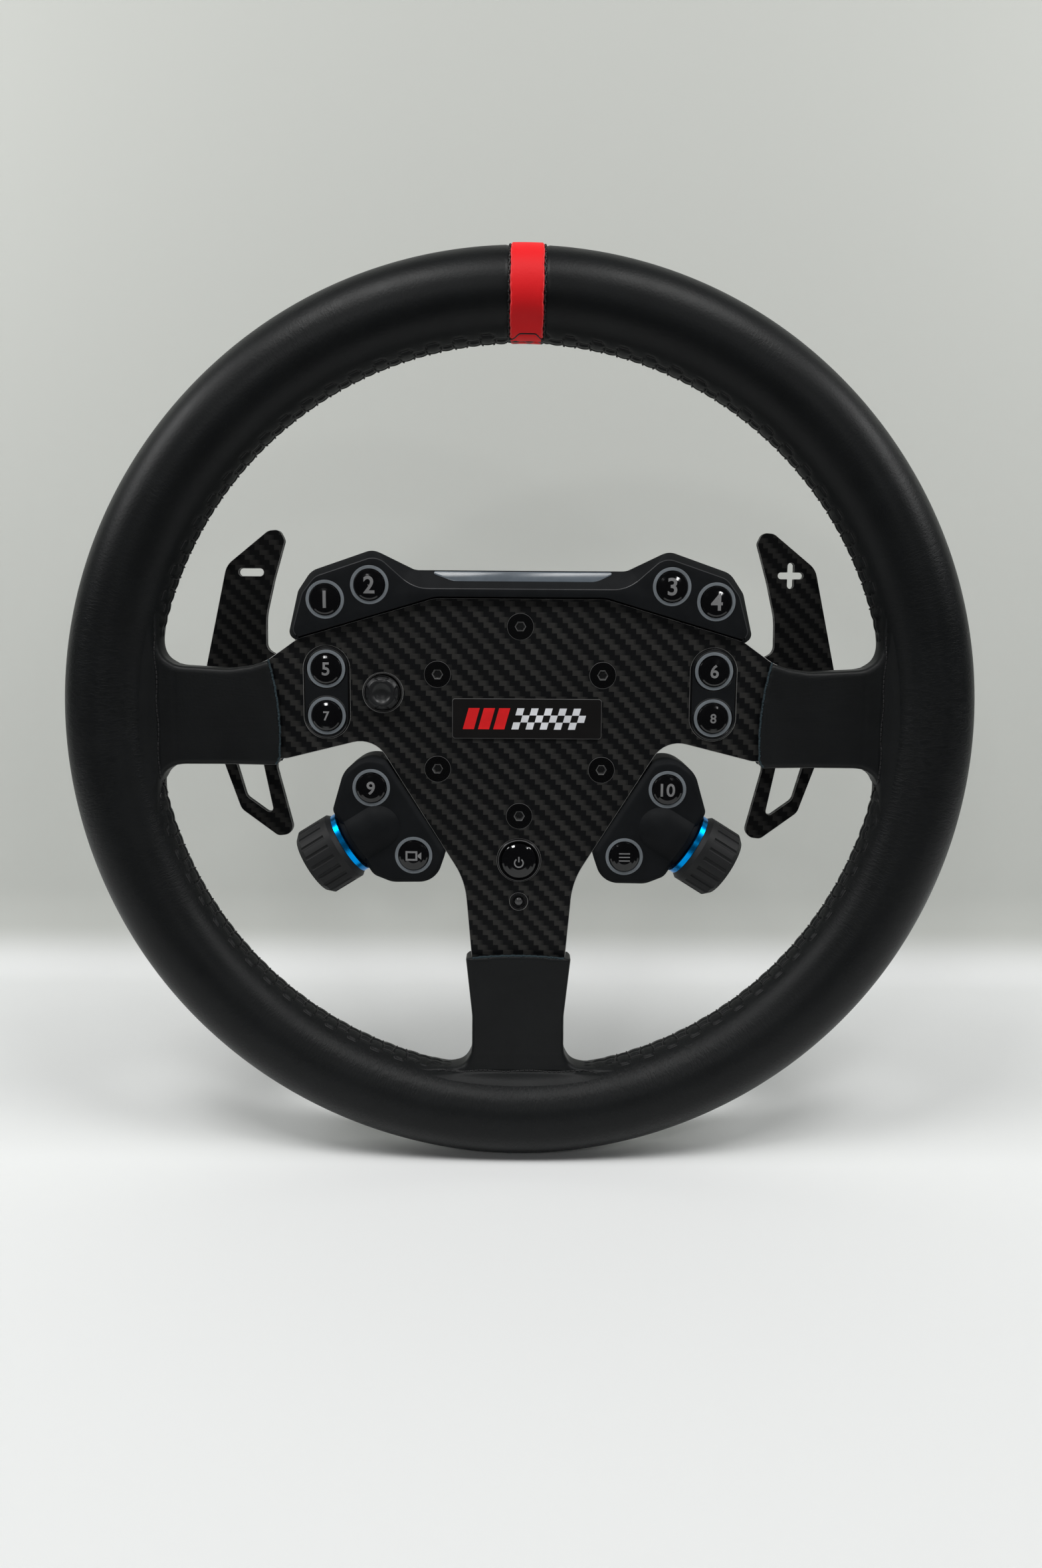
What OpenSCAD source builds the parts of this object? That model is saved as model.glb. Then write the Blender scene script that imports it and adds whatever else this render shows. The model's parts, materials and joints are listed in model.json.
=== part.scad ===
// Racing wheel: leather rim, three-spoke carbon plate, button pods, encoders,
// thumb stick, shift paddles and a quick-release hub.
// The driver sits at -Y. +Z is up. The origin is the centre of the mouth of
// the quick-release bore, and the rim lies in a plane of constant Y.

/* [Rim] */
// Radius of the circle through the middle of the rim tube
rim_r = 151.3; // [148:0.1:156]
// Radius of the rim tube over the leather
tube_r = 15.9; // [15:0.1:17]
// Thickness of the leather wrap
leather_t = 1.3; // [1:0.1:1.6]
// Width of the centre stripe
stripe_w = 12.2; // [8:0.1:20]
// Angle of the stripe from top centre, clockwise for the driver
stripe_angle = 0.6; // [0:0.1:1.5]
// Distance from the rim plane back to the mouth of the quick release
hub_reach = 56; // [56:1:70]

/* [Plate] */
// Thickness of the carbon plate
plate_t = 5; // [5:0.5:6]
// Diameter of the circle of plate screws
bolt_pcd = 70; // [70:0.5:72]
// Number of plate screws
bolt_count = 6; // [3:1:6]

/* [Buttons] */
// Radius of a standard button cap
cap_r = 5.5; // [5:0.1:5.6]
// Radius of the start button cap
start_cap_r = 6.5; // [6:0.1:6.5]
// Travel of a button
button_travel = 1; // [0.6:0.1:1]

/* [Encoders] */
// Outer radius of an encoder knob
knob_r = 13.3; // [11:0.1:13.4]
// Length of an encoder knob
knob_len = 15.5; // [10:0.1:16]
// Number of ribs round an encoder knob
knob_ribs = 20; // [8:1:24]
// Angle of the knob axis below the horizontal
knob_tilt = 32; // [30:0.5:34]

/* [Paddles] */
// Thickness of a paddle blade
blade_t = 3; // [2:0.5:3]
// Distance from the rim plane back to the paddle pivots
pivot_y = 32; // [32:0.5:34]
// Distance of a paddle pivot from the middle of the wheel
pivot_x = 50; // [50:0.5:52]

/* [Quick release] */
// Radius of the quick-release bore
bore_r = 15; // [14:0.5:15]
// Depth of the quick-release bore
bore_depth = 30; // [28:1:30]

/* [Hidden] */
$fn = 48;

front = -plate_t / 2;
back = plate_t / 2;
fit_gap = 0.05;
core_r0 = 147;
core_r1 = 155;
core_h = 3;
foam_r = tube_r - leather_t;
sleeve_t = 5.5;

// Plate screws
bolt_r = 2.5;
bolt_head_r = 5.05;
bolt_head_h = 2.8;
bolt_reach = 7.5;

// Rear housing: depth range, wall and the round well for the hub
house_back = 24;
house_wall = 2;
well_r = 41.5;
well_wall = 1.5;
board_y = 17;
board_t = 1.6;
boss_r = 3.2;

// Button stack, measured back from the face that the button sits in
ring_r = 6.95;
ring_hole_r = 7;
ring_depth = 3;
cap_gap = 0.25;
flange_y = 3.3;
flange_t = 0.8;
stem_r = 1.5;
stem_end = 6;
switch_y = 5.2;
switch_h = 3.2;
button_board_y = switch_y + switch_h;
pod_face = -5;
pill_face = -3.3;
start_face = -3.6;

// Button places: [x, z, face]
BUTTONS = [
  [-70.7, 44.4, pod_face], [-54.6, 49.7, pod_face],
  [54.6, 49.7, pod_face], [70.7, 44.4, pod_face],
  [-70.9, 19.3, pill_face], [-70.9, 2.1, pill_face],
  [70.9, 19.3, pill_face], [70.9, 2.1, pill_face],
  [-54.7, -24.3, pod_face], [-39.2, -49.6, pod_face],
  [54.7, -24.3, pod_face], [39.2, -49.6, pod_face]
];
start_at = [0, -51.7];
status_at = [0, -67.6];
stick_at = [-50.3, 10.7];
stick_pivot_y = 5;
pill_r = 8.3;
pill_x = 70.9;
pill_z = [2.1, 19.3];

// Encoder axis: where it leaves the pod's flat face, and how deep it lies
knob_face = [61.85, -45];
knob_y = 3;
neck_r = 11.5;
neck_out = 1;
neck_in = 11;
shaft_r = 3;
bushing_r = 3.5;
knob_ring_r = 12.1;
knob_ring_t = 1.9;
// Smooth stretch of the knob before its grooves start
knob_collar = 4.2;

// Front of the board behind the light bar
lamp_y = 1.2;

// Screws through the rear housing, one side: [x, z, depth of the head's seat]
bracket_t = 1.8;
HOUSING_SCREWS = [[36, 34, house_back], [54, 26, house_back + bracket_t], [11.5, -60, house_back]];
// Short screw that holds the bracket's free end to the housing
bracket_screw = [58, 1.5];
// Screws through the ears of a lower pod
POD_SCREWS = [[42, -15], [25.4, -42]];
ear_r = 4.2;
ear_h = 2.5;
screw_r = 1.5;
screw_hole_r = 1.6;
head_r = 2.8;
head_h = 1.6;

// Quick-release hub
flange_r = 40;
hub_flange_t = 8;
shoulder_y = 24;
hub_lip_h = 3.6;
hub_body_r = 20;
shoulder_r = 31;
collar_r = 28;
ball_r = 2.6;
ball_lip_r = 2;
ball_y = 43;
ball_reach = bore_r + ball_r + 0.1;
ball_count = 5;

// Rim, spoke and pod outlines, right half, as [x, z, corner radius]
PLATE_HALF = [
  [0, 45.1, 0], [31, 45.1, 14], [81.3, 30.2, 12], [92, 22.6, 12], [104, 17.6, 20],
  [core_r0 + 2, 17.6, 0], [core_r0 + 2, -13.6, 0], [86, -13.9, 4],
  [53.8, -5.8, 10.8], [20.3, -59.7, 30], [17.6, -90, 0], [14.2, -116, 0],
  [14.2, -core_r0 - 2, 0]
];
TOP_HALF = [
  [0, 55.1, 0], [38.4, 55.1, 8], [53.6, 62.4, 6], [76.1, 54.6, 7], [81, 47.4, 5],
  [84.8, 31.4, 3], [81.6, 29.2, 0]
];
TOP_FACE_HALF = [
  [0, 48.6, 0], [38.6, 48.6, 14], [51.8, 60.2, 7], [74.3, 52.6, 6], [79, 46.6, 5],
  [82.8, 32.8, 3], [80.2, 30.2, 0]
];
POD = [
  [49.4, -14.2, 4], [56.8, -12.2, 10], [65, -18.2, 10], [69.4, -33.2, 3],
  [54.4, -57.4, 5], [47.4, -60.2, 9], [31.2, -60, 8.5], [27.3, -48.6, 4]
];
SLEEVE_SIDE = [
  [91.8, 23.6, 1], [98, 20.4, 10], [106, 19.2, 20], [132.9, 20.6, 11], [128.6, 44, 0],
  [141, 20, 0], [141, -16, 0], [130, -40.2, 0], [134.2, -16.1, 11], [107, -16, 10],
  [90, -16.2, 1.5], [88.1, -13, 4], [88, -3.6, 30], [89.4, 12.3, 30]
];
SLEEVE_BOTTOM_HALF = [
  [0, -88.4, 0], [19.4, -88.4, 1], [17, -112, 12], [17.2, -134.8, 11],
  [40.4, -129.8, 0], [20, -141, 0], [0, -141, 0]
];
BLADE = [
  [98.2, 70.8, 4], [93.8, 71.2, 2.6], [91.8, 67, 2.6], [96.2, 52.2, 60], [99.6, 38, 30],
  [99.8, 25, 4], [76, 12, 3], [76, -8, 3], [93.4, -11, 6], [97, -21, 6],
  [90.1, -48.8, 3.6], [96.9, -49.6, 3], [111.4, -38.8, 5], [118.2, -19, 20],
  [124, 17, 12], [114.8, 57.4, 8]
];
BLADE_WINDOW = [
  [104.4, -9, 2], [98.1, -41.8, 1.5], [109.2, -33.6, 4], [116, -9, 2]
];
LEVER = [[50, 11, 3], [78, 10, 3], [97, 9, 2], [97, 0, 2], [78, -1, 3], [50, -1, 3]];
HOUSE_HALF = [
  [0, 54.3, 0], [38.4, 54.3, 6], [53.2, 61.7, 6], [74.6, 54, 6], [79.4, 47, 5],
  [83, 32.4, 3], [84, 26, 2], [84, -11.5, 3], [60, -4.6, 6], [44, -6, 0],
  [20, -43, 8], [16.5, -52, 4], [16.5, -73, 3], [0, -73, 0]
];

symbol_at = [105.2, 54.8];

// Points of the arc that rounds corner q between p and s to radius r
function arc_points(p, q, s, r, n) =
  let (u = (p - q) / norm(p - q), v = (s - q) / norm(s - q),
       half = acos(u * v) / 2, reach = r / tan(half),
       c = q + (u + v) / norm(u + v) * r / sin(half),
       e0 = q + u * reach - c, e1 = q + v * reach - c,
       a0 = atan2(e0[1], e0[0]), turn = atan2(e0[0] * e1[1] - e0[1] * e1[0], e0 * e1))
  [for (i = [0:n]) c + r * [cos(a0 + turn * i / n), sin(a0 + turn * i / n)]];
function at(c) = [c[0], c[1]];
// A closed outline from corners [x, z, radius]
function rounded(c, n = 8) = [
  for (i = [0:len(c) - 1])
    let (p = at(c[(i + len(c) - 1) % len(c)]), q = at(c[i]), s = at(c[(i + 1) % len(c)]))
    each (c[i][2] == 0 ? [q] : arc_points(p, q, s, c[i][2], n))
];
// A right half and its mirror image as one list of corners
function both_halves(c) = concat(
  c, [for (i = [len(c) - 1:-1:0]) if (abs(c[i][0]) > 0.001) [-c[i][0], c[i][1], c[i][2]]]);

// Everything is drawn about the rim centre and then moved to the row's origin
module wheel() { translate([0, -hub_reach, 0]) children(); }
// A flat shape in X and Z, given depth from y0 to y1
module slab(y0, y1) { translate([0, y1, 0]) rotate([90, 0, 0]) linear_extrude(y1 - y0) children(); }
// A shape turned about an axis along Y, drawn with Y as its second coordinate
module turned(x, z) { translate([x, 0, z]) rotate([-90, 0, 0]) rotate_extrude() children(); }
// A cylinder along Y
module rod(x, z, y0, y1, r) { translate([x, y0, z]) rotate([-90, 0, 0]) cylinder(r = r, h = y1 - y0); }
module pair() { children(); mirror([1, 0, 0]) children(); }
module shape(c, n = 8) { polygon(rounded(c, n)); }

module torus(r) { rotate([90, 0, 0]) rotate_extrude($fn = 96) translate([rim_r, 0]) circle(r = r); }
module spoke_slots(gap) {
  slab(front - gap, back + gap) offset(delta = gap) intersection() {
    shape(both_halves(PLATE_HALF));
    difference() { circle(r = core_r0 + 1); circle(r = 125); }
  }
}

module plate_outline() {
  intersection() { shape(both_halves(PLATE_HALF)); circle(r = core_r0 - 0.05, $fn = 180); }
}
module pill(r, grow = 0) {
  hull() for (z = pill_z) translate([pill_x, z]) circle(r = r + grow);
}

module spoke_plate() {
  color([0.09, 0.09, 0.1]) wheel() difference() {
    slab(front, back) plate_outline();
    for (i = [0:bolt_count - 1]) bolt_place(i) {
      rod(0, 0, front - 1, back + 1, bolt_r + 0.1);
      translate([0, front - 0.01, 0]) rotate([-90, 0, 0])
        cylinder(r1 = bolt_head_r + 0.1, r2 = bolt_r + 0.1, h = bolt_head_h + 0.1);
    }
    pair() slab(front - 1, back + 1) for (z = pill_z) translate([pill_x, z]) circle(r = pill_r + 0.2);
    pair() slab(front - 1, back + 1) translate([pill_x - pill_r - 0.2, pill_z[0]])
      square([2 * pill_r + 0.4, pill_z[1] - pill_z[0]]);
    rod(start_at[0], start_at[1], front - 1, back + 1, 8.2);
    rod(status_at[0], status_at[1], front - 1, back + 1, 3.35);
    rod(stick_at[0], stick_at[1], front - 1, back + 1, 7.4);
    pair() for (s = concat(HOUSING_SCREWS, POD_SCREWS)) rod(s[0], s[1], -0.6, back + 1, 1.55);
  }
}
module bolt_place(i) {
  rotate([0, 360 / bolt_count * i, 0]) translate([0, 0, bolt_pcd / 2]) children();
}

module rim_core() {
  color([0.55, 0.56, 0.58]) wheel() slab(-core_h, core_h) difference() {
    circle(r = core_r1, $fn = 96);
    circle(r = core_r0, $fn = 96);
  }
}
module rim_foam() {
  color([0.2, 0.2, 0.21]) wheel() difference() {
    torus(foam_r);
    slab(-core_h, core_h) difference() { circle(r = core_r1, $fn = 96); circle(r = core_r0, $fn = 96); }
    spoke_slots(0.05);
  }
}
module stripe_band(w) {
  rotate([0, stripe_angle, 0]) translate([-w / 2, -40, 100]) cube([w, 80, 90]);
}
module rim_leather() {
  color([0.07, 0.07, 0.08]) wheel() difference() {
    torus(tube_r);
    torus(foam_r);
    stripe_band(stripe_w);
    spoke_slots(0.05);
  }
}
module centre_stripe() {
  color([0.8, 0.12, 0.14]) wheel() intersection() {
    difference() { torus(tube_r + 0.8); torus(foam_r); }
    stripe_band(stripe_w);
  }
}
// The seam thread runs round the inside of the rim between the sleeves and the stripe
THREAD_ARCS = [[19.6, 86.6], [92.2, 160.4], [197.9, 251.9], [288.1, 342.1]];
module rim_thread() {
  color([0.03, 0.03, 0.03]) wheel() for (a = THREAD_ARCS)
    rotate([90, 0, 0]) rotate([0, 0, a[0]]) rotate_extrude(angle = a[1] - a[0], $fn = 96)
      translate([rim_r - tube_r - 0.6, 0]) circle(r = 0.5, $fn = 16);
}

module sleeve(c) {
  color([0.06, 0.06, 0.07]) wheel() difference() {
    slab(-sleeve_t, sleeve_t) shape(c);
    torus(tube_r);
    slab(front, back) shape(both_halves(PLATE_HALF));
  }
}
module sleeve_right() { sleeve(SLEEVE_SIDE); }
module sleeve_left() { mirror([1, 0, 0]) sleeve_right(); }
module sleeve_bottom() { sleeve(both_halves(SLEEVE_BOTTOM_HALF)); }

// Countersunk screws with hexagon sockets
module plate_screws() {
  color([0.05, 0.05, 0.05]) wheel() for (i = [0:bolt_count - 1]) bolt_place(i) difference() {
    union() {
      translate([0, front, 0]) rotate([-90, 0, 0]) cylinder(r1 = bolt_head_r, r2 = bolt_r, h = bolt_head_h);
      rod(0, 0, front + bolt_head_h, back + bolt_reach, bolt_r);
    }
    translate([0, front - 1, 0]) rotate([-90, 0, 0]) cylinder(r = 1.75, h = 3, $fn = 6);
  }
}
module badge() {
  color([0.1, 0.1, 0.11]) wheel() slab(front - 0.6, front) translate([2.6, 1.4])
    shape([[-27.5, 7.4, 1.2], [27.5, 7.4, 1.2], [27.5, -7.4, 1.2], [-27.5, -7.4, 1.2]]);
}

// ---- Buttons ----
// Hole in a pod for a light ring and its cap
module button_hole(b) { rod(b[0], b[1], b[2] - 2, b[2] + 6, ring_hole_r); }
module cap(b, r) {
  color([0.02, 0.02, 0.02]) wheel() turned(b[0], b[1]) translate([0, b[2]]) polygon(concat(
    [for (i = [0:6]) [r * sin(15 * i), -0.5 - 0.9 * cos(15 * i)]],
    [[r, flange_y], [r + 1, flange_y], [r + 1, flange_y + flange_t], [stem_r, flange_y + flange_t],
     [stem_r, stem_end], [0, stem_end]]));
}
module start_cap() { cap([start_at[0], start_at[1], start_face], start_cap_r); }
module light_rings() {
  color([0.36, 0.38, 0.4]) wheel() for (b = BUTTONS) difference() {
    rod(b[0], b[1], b[2] - 0.1, b[2] + ring_depth, ring_r);
    rod(b[0], b[1], b[2] - 1, b[2] + ring_depth + 1, cap_r + cap_gap);
  }
}
module tact_switches() {
  all = concat(BUTTONS, [[start_at[0], start_at[1], start_face]]);
  color([0.25, 0.25, 0.26]) wheel() for (b = all) difference() {
    translate([b[0] - 3, b[2] + switch_y, b[1] - 3]) cube([6, switch_h, 6]);
    rod(b[0], b[1], b[2] + switch_y - 1, b[2] + stem_end + button_travel + 0.2, stem_r + 0.3);
  }
}
module circuit_boards() {
  top_y = pod_face + button_board_y;
  pill_y = pill_face + button_board_y;
  start_y = start_face + button_board_y;
  color([0.05, 0.25, 0.15]) wheel() {
    pair() slab(top_y, top_y + board_t) translate([46, 43.4]) square([28, 4]);
    pair() slab(top_y, top_y + board_t) translate([48, 47.2]) square([18, 5.4]);
    slab(lamp_y, lamp_y + board_t) translate([-34, 49.9]) square([68, 3]);
    pair() slab(pill_y, pill_y + board_t) translate([pill_x - 6, -1.4]) square([12, 24]);
    pair() slab(top_y, top_y + board_t)
      polygon([[49, -22], [55, -19], [59, -25], [43, -52], [36, -52], [36, -47]]);
    slab(start_y, start_y + board_t) translate([-7, -70]) square([14, 24]);
    slab(board_y, board_y + board_t) difference() {
      shape([[-60, 41, 3], [60, 41, 3], [60, 6, 3], [46, 1, 3], [-46, 1, 3], [-60, 6, 3]]);
      circle(r = well_r + well_wall + 0.6);
      for (m = [-1, 1], s = HOUSING_SCREWS) translate([m * s[0], s[1]]) circle(r = boss_r + 0.4);
    }
  }
}

// ---- Top pod ----
module top_region(c, low) {
  difference() {
    shape(both_halves(c));
    offset(delta = low) plate_outline();
    translate([-90, -100]) square([180, 129]);
  }
}
module top_bezel() {
  color([0.13, 0.13, 0.14]) wheel() difference() {
    union() {
      slab(-1.6, 6) top_region(TOP_HALF, 0.5);
      slab(pod_face, -1.6) top_region(TOP_FACE_HALF, 0.5);
    }
    slab(pod_face + 2.2, 7) offset(delta = -2) top_region(TOP_FACE_HALF, 0.5);
    slab(-1.8, 7) light_bar_shape(0.1);
    slab(lamp_y - 0.1, 7) translate([-34.2, 49.7]) square([68.4, 3.4]);
    for (b = [BUTTONS[0], BUTTONS[1], BUTTONS[2], BUTTONS[3]]) button_hole(b);
  }
}
// The light bar's outline, grown by gap
module light_bar_shape(gap) {
  polygon([[-34 - 3 * gap, 54.2 + gap], [-24 - gap, 51 - gap],
    [24 + gap, 51 - gap], [34 + 3 * gap, 54.2 + gap]]);
}
module light_bar() {
  color([0.45, 0.5, 0.55]) wheel() slab(-2, 1) light_bar_shape(0);
}

// ---- Pill bezels, rings and status light ----
module pill_bezels() {
  color([0.1, 0.1, 0.11]) wheel() pair() difference() {
    union() {
      slab(pill_face, back + 1) pill(pill_r);
      slab(back, back + 1.5) pill(pill_r, 1.6);
    }
    for (z = pill_z) rod(pill_x, z, pill_face - 1, back + 3, ring_hole_r);
  }
}
module plate_rings() {
  color([0.04, 0.04, 0.04]) wheel() {
    // Start button ring
    turned(start_at[0], start_at[1]) polygon([
      [start_cap_r + 0.2, start_face + 0.6], [start_cap_r + 0.8, start_face], [7.7, start_face],
      [8.15, start_face + 0.6], [8.15, back], [9.5, back], [9.5, back + 1.5], [7.8, back + 1.5],
      [7.8, start_face + 3], [start_cap_r + 0.2, start_face + 3]]);
    // Cup of the thumb stick
    turned(stick_at[0], stick_at[1]) polygon([
      [6.8, front - 0.3], [7.3, front - 0.3], [7.3, back], [5.2, back], [5.2, back - 1]]);
  }
}
module status_light() {
  color([0.1, 0.1, 0.1]) wheel() turned(status_at[0], status_at[1]) polygon(concat(
    [for (i = [0:6]) [1.9 * sin(15 * i), front + 0.7 - 0.9 * cos(15 * i)]],
    [[2.4, front + 0.7], [2.6, front - 0.4], [3.1, front - 0.4], [3.3, front], [3.3, back + 1],
     [0, back + 1]]));
}

// ---- Thumb stick: a cross shaft in a gimbal frame ----
module at_stick() { translate([stick_at[0], stick_pivot_y, stick_at[1]]) children(); }
module centred(x, y, z) { cube([x, y, z], center = true); }
module pin_x(x0, x1, r) { translate([x0, 0, 0]) rotate([0, 90, 0]) cylinder(r = r, h = x1 - x0); }
module pin_z(z0, z1, r) { translate([0, 0, z0]) cylinder(r = r, h = z1 - z0); }
module stick_housing() {
  color([0.35, 0.36, 0.38]) wheel() at_stick() difference() {
    translate([0, 1.8, 0]) centred(17, 8.4, 17);
    translate([0, 0.3, 0]) centred(13.4, 8.4, 13.4);
    pin_x(-9, 9, 0.85);
  }
}
module stick_gimbal() {
  color([0.6, 0.6, 0.62]) wheel() at_stick() {
    difference() {
      centred(10.8, 2.6, 10.8);
      centred(7.4, 4, 7.4);
      pin_z(-6, 6, 0.85);
    }
    pin_x(5.4, 7.9, 0.8);
    pin_x(-7.9, -5.4, 0.8);
  }
}
module thumb_stick() {
  color([0.04, 0.04, 0.05]) wheel() at_stick() {
    centred(6, 2.4, 6);
    pin_z(-5, -3, 0.8);
    pin_z(3, 5, 0.8);
    rotate([90, 0, 0]) cylinder(r = 1.5, h = 9.5);
    translate([0, -stick_pivot_y, 0]) turned(0, 0) polygon([
      [0, -6.4], [2.5, -6.7], [4.2, -7.4], [5, -7.4], [5.6, -6.6], [5.6, -4.6], [4.9, -3.9], [0, -3.9]]);
  }
}

// ---- Lower pods and encoders ----
// Draws along the encoder axis: +Z of the child runs out of the pod
module along_knob() {
  translate([knob_face[0], knob_y, knob_face[1]]) rotate([0, 90 + knob_tilt, 0]) children();
}
module pod_solid(y0, y1) {
  difference() {
    union() {
      slab(y0, y1) shape(POD);
      intersection() {
        along_knob() union() {
          translate([0, 0, -neck_in]) cylinder(r = neck_r, h = neck_in + neck_out);
          translate([0, 0, -neck_in]) sphere(r = neck_r);
        }
        translate([0, y0 - 20, -100]) cube([100, y1 - y0 + 40, 100]);
        pod_half_space(y0);
      }
    }
    pod_cavity();
    along_knob() translate([0, 0, -8]) cylinder(r = bushing_r + 0.1, h = 12);
  }
}
// The bezel takes what lies in front of the encoder axis, the shell what lies behind
module pod_half_space(y0) {
  translate([0, y0 < 0 ? knob_y - 40 : knob_y, -100]) cube([100, 40, 100]);
}
module pod_cavity() {
  slab(pod_face + 2.2, 14.2) offset(delta = -2.2) shape(POD);
}
module pod_bezel_right() {
  color([0.13, 0.13, 0.14]) wheel() difference() {
    pod_solid(pod_face, knob_y);
    slab(front - 0.1, back + 0.1) offset(delta = 0.15) plate_outline();
    for (b = [BUTTONS[10], BUTTONS[11]]) button_hole(b);
  }
}
module pod_bezel_left() { mirror([1, 0, 0]) pod_bezel_right(); }
module pod_ear(s, reach) {
  slab(back, back + ear_h) hull() {
    translate(s) circle(r = ear_r);
    translate(s + reach * [cos(knob_tilt), -sin(knob_tilt)]) circle(r = ear_r);
  }
}
module pod_shells() {
  color([0.08, 0.08, 0.09]) wheel() pair() difference() {
    union() {
      pod_solid(knob_y, 16);
      difference() {
        union() { pod_ear(POD_SCREWS[0], 8); pod_ear(POD_SCREWS[1], 8); }
        slab(back - 1, back + 4) offset(delta = -2) shape(POD);
        slab(back - 1, knob_y) offset(delta = 0.1) shape(POD);
      }
    }
    for (s = POD_SCREWS) rod(s[0], s[1], back - 1, back + 4, screw_hole_r);
  }
}
module encoder_bodies() {
  color([0.5, 0.51, 0.53]) wheel() pair() along_knob() difference() {
    union() {
      translate([-5.7, -5.7, -neck_in]) cube([11.4, 11.4, 6.5]);
      translate([0, 0, -4.6]) cylinder(r = bushing_r, h = 5.2);
    }
    translate([0, 0, -8]) cylinder(r = shaft_r + fit_gap, h = 12);
  }
}
module encoder_shaft_right() {
  color([0.65, 0.66, 0.68]) wheel() along_knob() translate([0, 0, -7.5]) cylinder(r = shaft_r, h = 20);
}
module encoder_shaft_left() { mirror([1, 0, 0]) encoder_shaft_right(); }
module knob_ring_right() {
  color([0.1, 0.55, 0.9]) wheel() along_knob() translate([0, 0, neck_out + 0.3]) difference() {
    cylinder(r = knob_ring_r, h = knob_ring_t);
    translate([0, 0, -1]) cylinder(r = shaft_r + 0.01, h = 4);
  }
}
module knob_ring_left() { mirror([1, 0, 0]) knob_ring_right(); }
module knob_right() {
  color([0.07, 0.07, 0.07]) wheel() along_knob() translate([0, 0, neck_out + 0.3 + knob_ring_t]) difference() {
    rotate_extrude($fn = 96) polygon([
      [shaft_r + 0.01, 0], [knob_r - 1.5, 0], [knob_r, 1.8], [knob_r, knob_len - 2],
      [knob_r - 1.8, knob_len], [0, knob_len], [0, 9.4], [shaft_r + 0.01, 9.4]]);
    for (i = [0:knob_ribs - 1]) rotate([0, 0, 360 / knob_ribs * i])
      translate([knob_r + 0.25, 0, knob_collar]) cylinder(r = 0.85, h = knob_len, $fn = 24);
  }
}
module knob_left() { mirror([1, 0, 0]) knob_right(); }

// ---- Shift paddles ----
lever_y0 = pivot_y - 3.5;
blade_y = pivot_y;
lever_z = 5;
lever_h = 13.6;
ear_t = 3;
ear_gap = 0.2;
pin_r = 2.5;
PADDLE_SCREWS = [82, 91];
paddle_screw_r = 2;
module blade_outline() { difference() { shape(BLADE); shape(BLADE_WINDOW); } }
module minus_slot(r, reach) { hull() for (s = [-1, 1]) translate(symbol_at + [s * reach, 0]) circle(r = r); }
module plus_slot(r, reach) {
  minus_slot(r, reach);
  hull() for (s = [-1, 1]) translate(symbol_at + [0, s * reach]) circle(r = r);
}
module blade() {
  difference() {
    slab(blade_y, blade_y + blade_t) difference() { blade_outline(); children(); }
    for (x = PADDLE_SCREWS) rod(x, lever_z, blade_y - 1, blade_y + blade_t + 1, paddle_screw_r + fit_gap);
  }
}
module paddle_right() { color([0.08, 0.08, 0.09]) wheel() blade() plus_slot(1.3, 3.7); }
module paddle_left() { color([0.08, 0.08, 0.09]) wheel() mirror([1, 0, 0]) blade() minus_slot(1.5, 3.4); }
module lever_right() {
  color([0.3, 0.31, 0.33]) wheel() difference() {
    union() {
      slab(lever_y0, blade_y) shape(LEVER);
      translate([pivot_x, pivot_y, lever_z - lever_h / 2]) cylinder(r = 4.6, h = lever_h);
      rod(magnet_x, lever_z, blade_y - 1, magnet_y - 0.2, magnet_r);
    }
    translate([pivot_x, pivot_y, -20]) cylinder(r = pin_r + fit_gap, h = 40);
    for (x = PADDLE_SCREWS) rod(x, lever_z, lever_y0 - 1, blade_y + 1, paddle_screw_r + fit_gap);
  }
}
module lever_left() { mirror([1, 0, 0]) lever_right(); }
module paddle_screws_right() {
  color([0.5, 0.5, 0.52]) wheel() for (x = PADDLE_SCREWS) {
    rod(x, lever_z, lever_y0 + 0.3, blade_y + blade_t, paddle_screw_r);
    difference() {
      rod(x, lever_z, blade_y + blade_t, blade_y + blade_t + 2.2, 3.6);
      translate([x, blade_y + blade_t + 1, lever_z]) rotate([-90, 0, 0]) cylinder(r = 1.4, h = 2, $fn = 6);
    }
  }
}
module paddle_screws_left() { mirror([1, 0, 0]) paddle_screws_right(); }
module pivot_pins() {
  color([0.7, 0.7, 0.72]) wheel() pair() translate([pivot_x, pivot_y, lever_z - lever_h / 2 - ear_gap - ear_t])
    cylinder(r = pin_r, h = lever_h + 2 * (ear_gap + ear_t));
}
magnet_x = 59;
magnet_y = 34.8;
magnet_r = 3.2;
bracket_x0 = 44;
bracket_x1 = 64;
bracket_h = 15;
stop_t = 2.4;
module shifter_brackets() {
  z0 = lever_z - lever_h / 2 - ear_gap - ear_t;
  z1 = lever_z + lever_h / 2 + ear_gap;
  color([0.16, 0.16, 0.17]) wheel() pair() difference() {
    union() {
      translate([bracket_x0, house_back, z0]) cube([bracket_x1 - bracket_x0, bracket_t, z1 + ear_t - z0]);
      slab(house_back, house_back + bracket_t)
        shape([[48, z1, 0], [48, 31, 3], [60, 31, 3], [60, z1, 0]]);
      for (z = [z0, z1]) translate([bracket_x0, house_back, z])
        cube([bracket_x1 - bracket_x0, bracket_h, ear_t]);
      translate([bracket_x1 - 9, house_back + bracket_h - stop_t, z0]) cube([9, stop_t, z1 + ear_t - z0]);
    }
    translate([pivot_x, pivot_y, -20]) cylinder(r = pin_r, h = 50);
    for (s = [HOUSING_SCREWS[1], bracket_screw])
      rod(s[0], s[1], house_back - 1, house_back + bracket_t + 1, screw_hole_r);
  }
}
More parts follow.
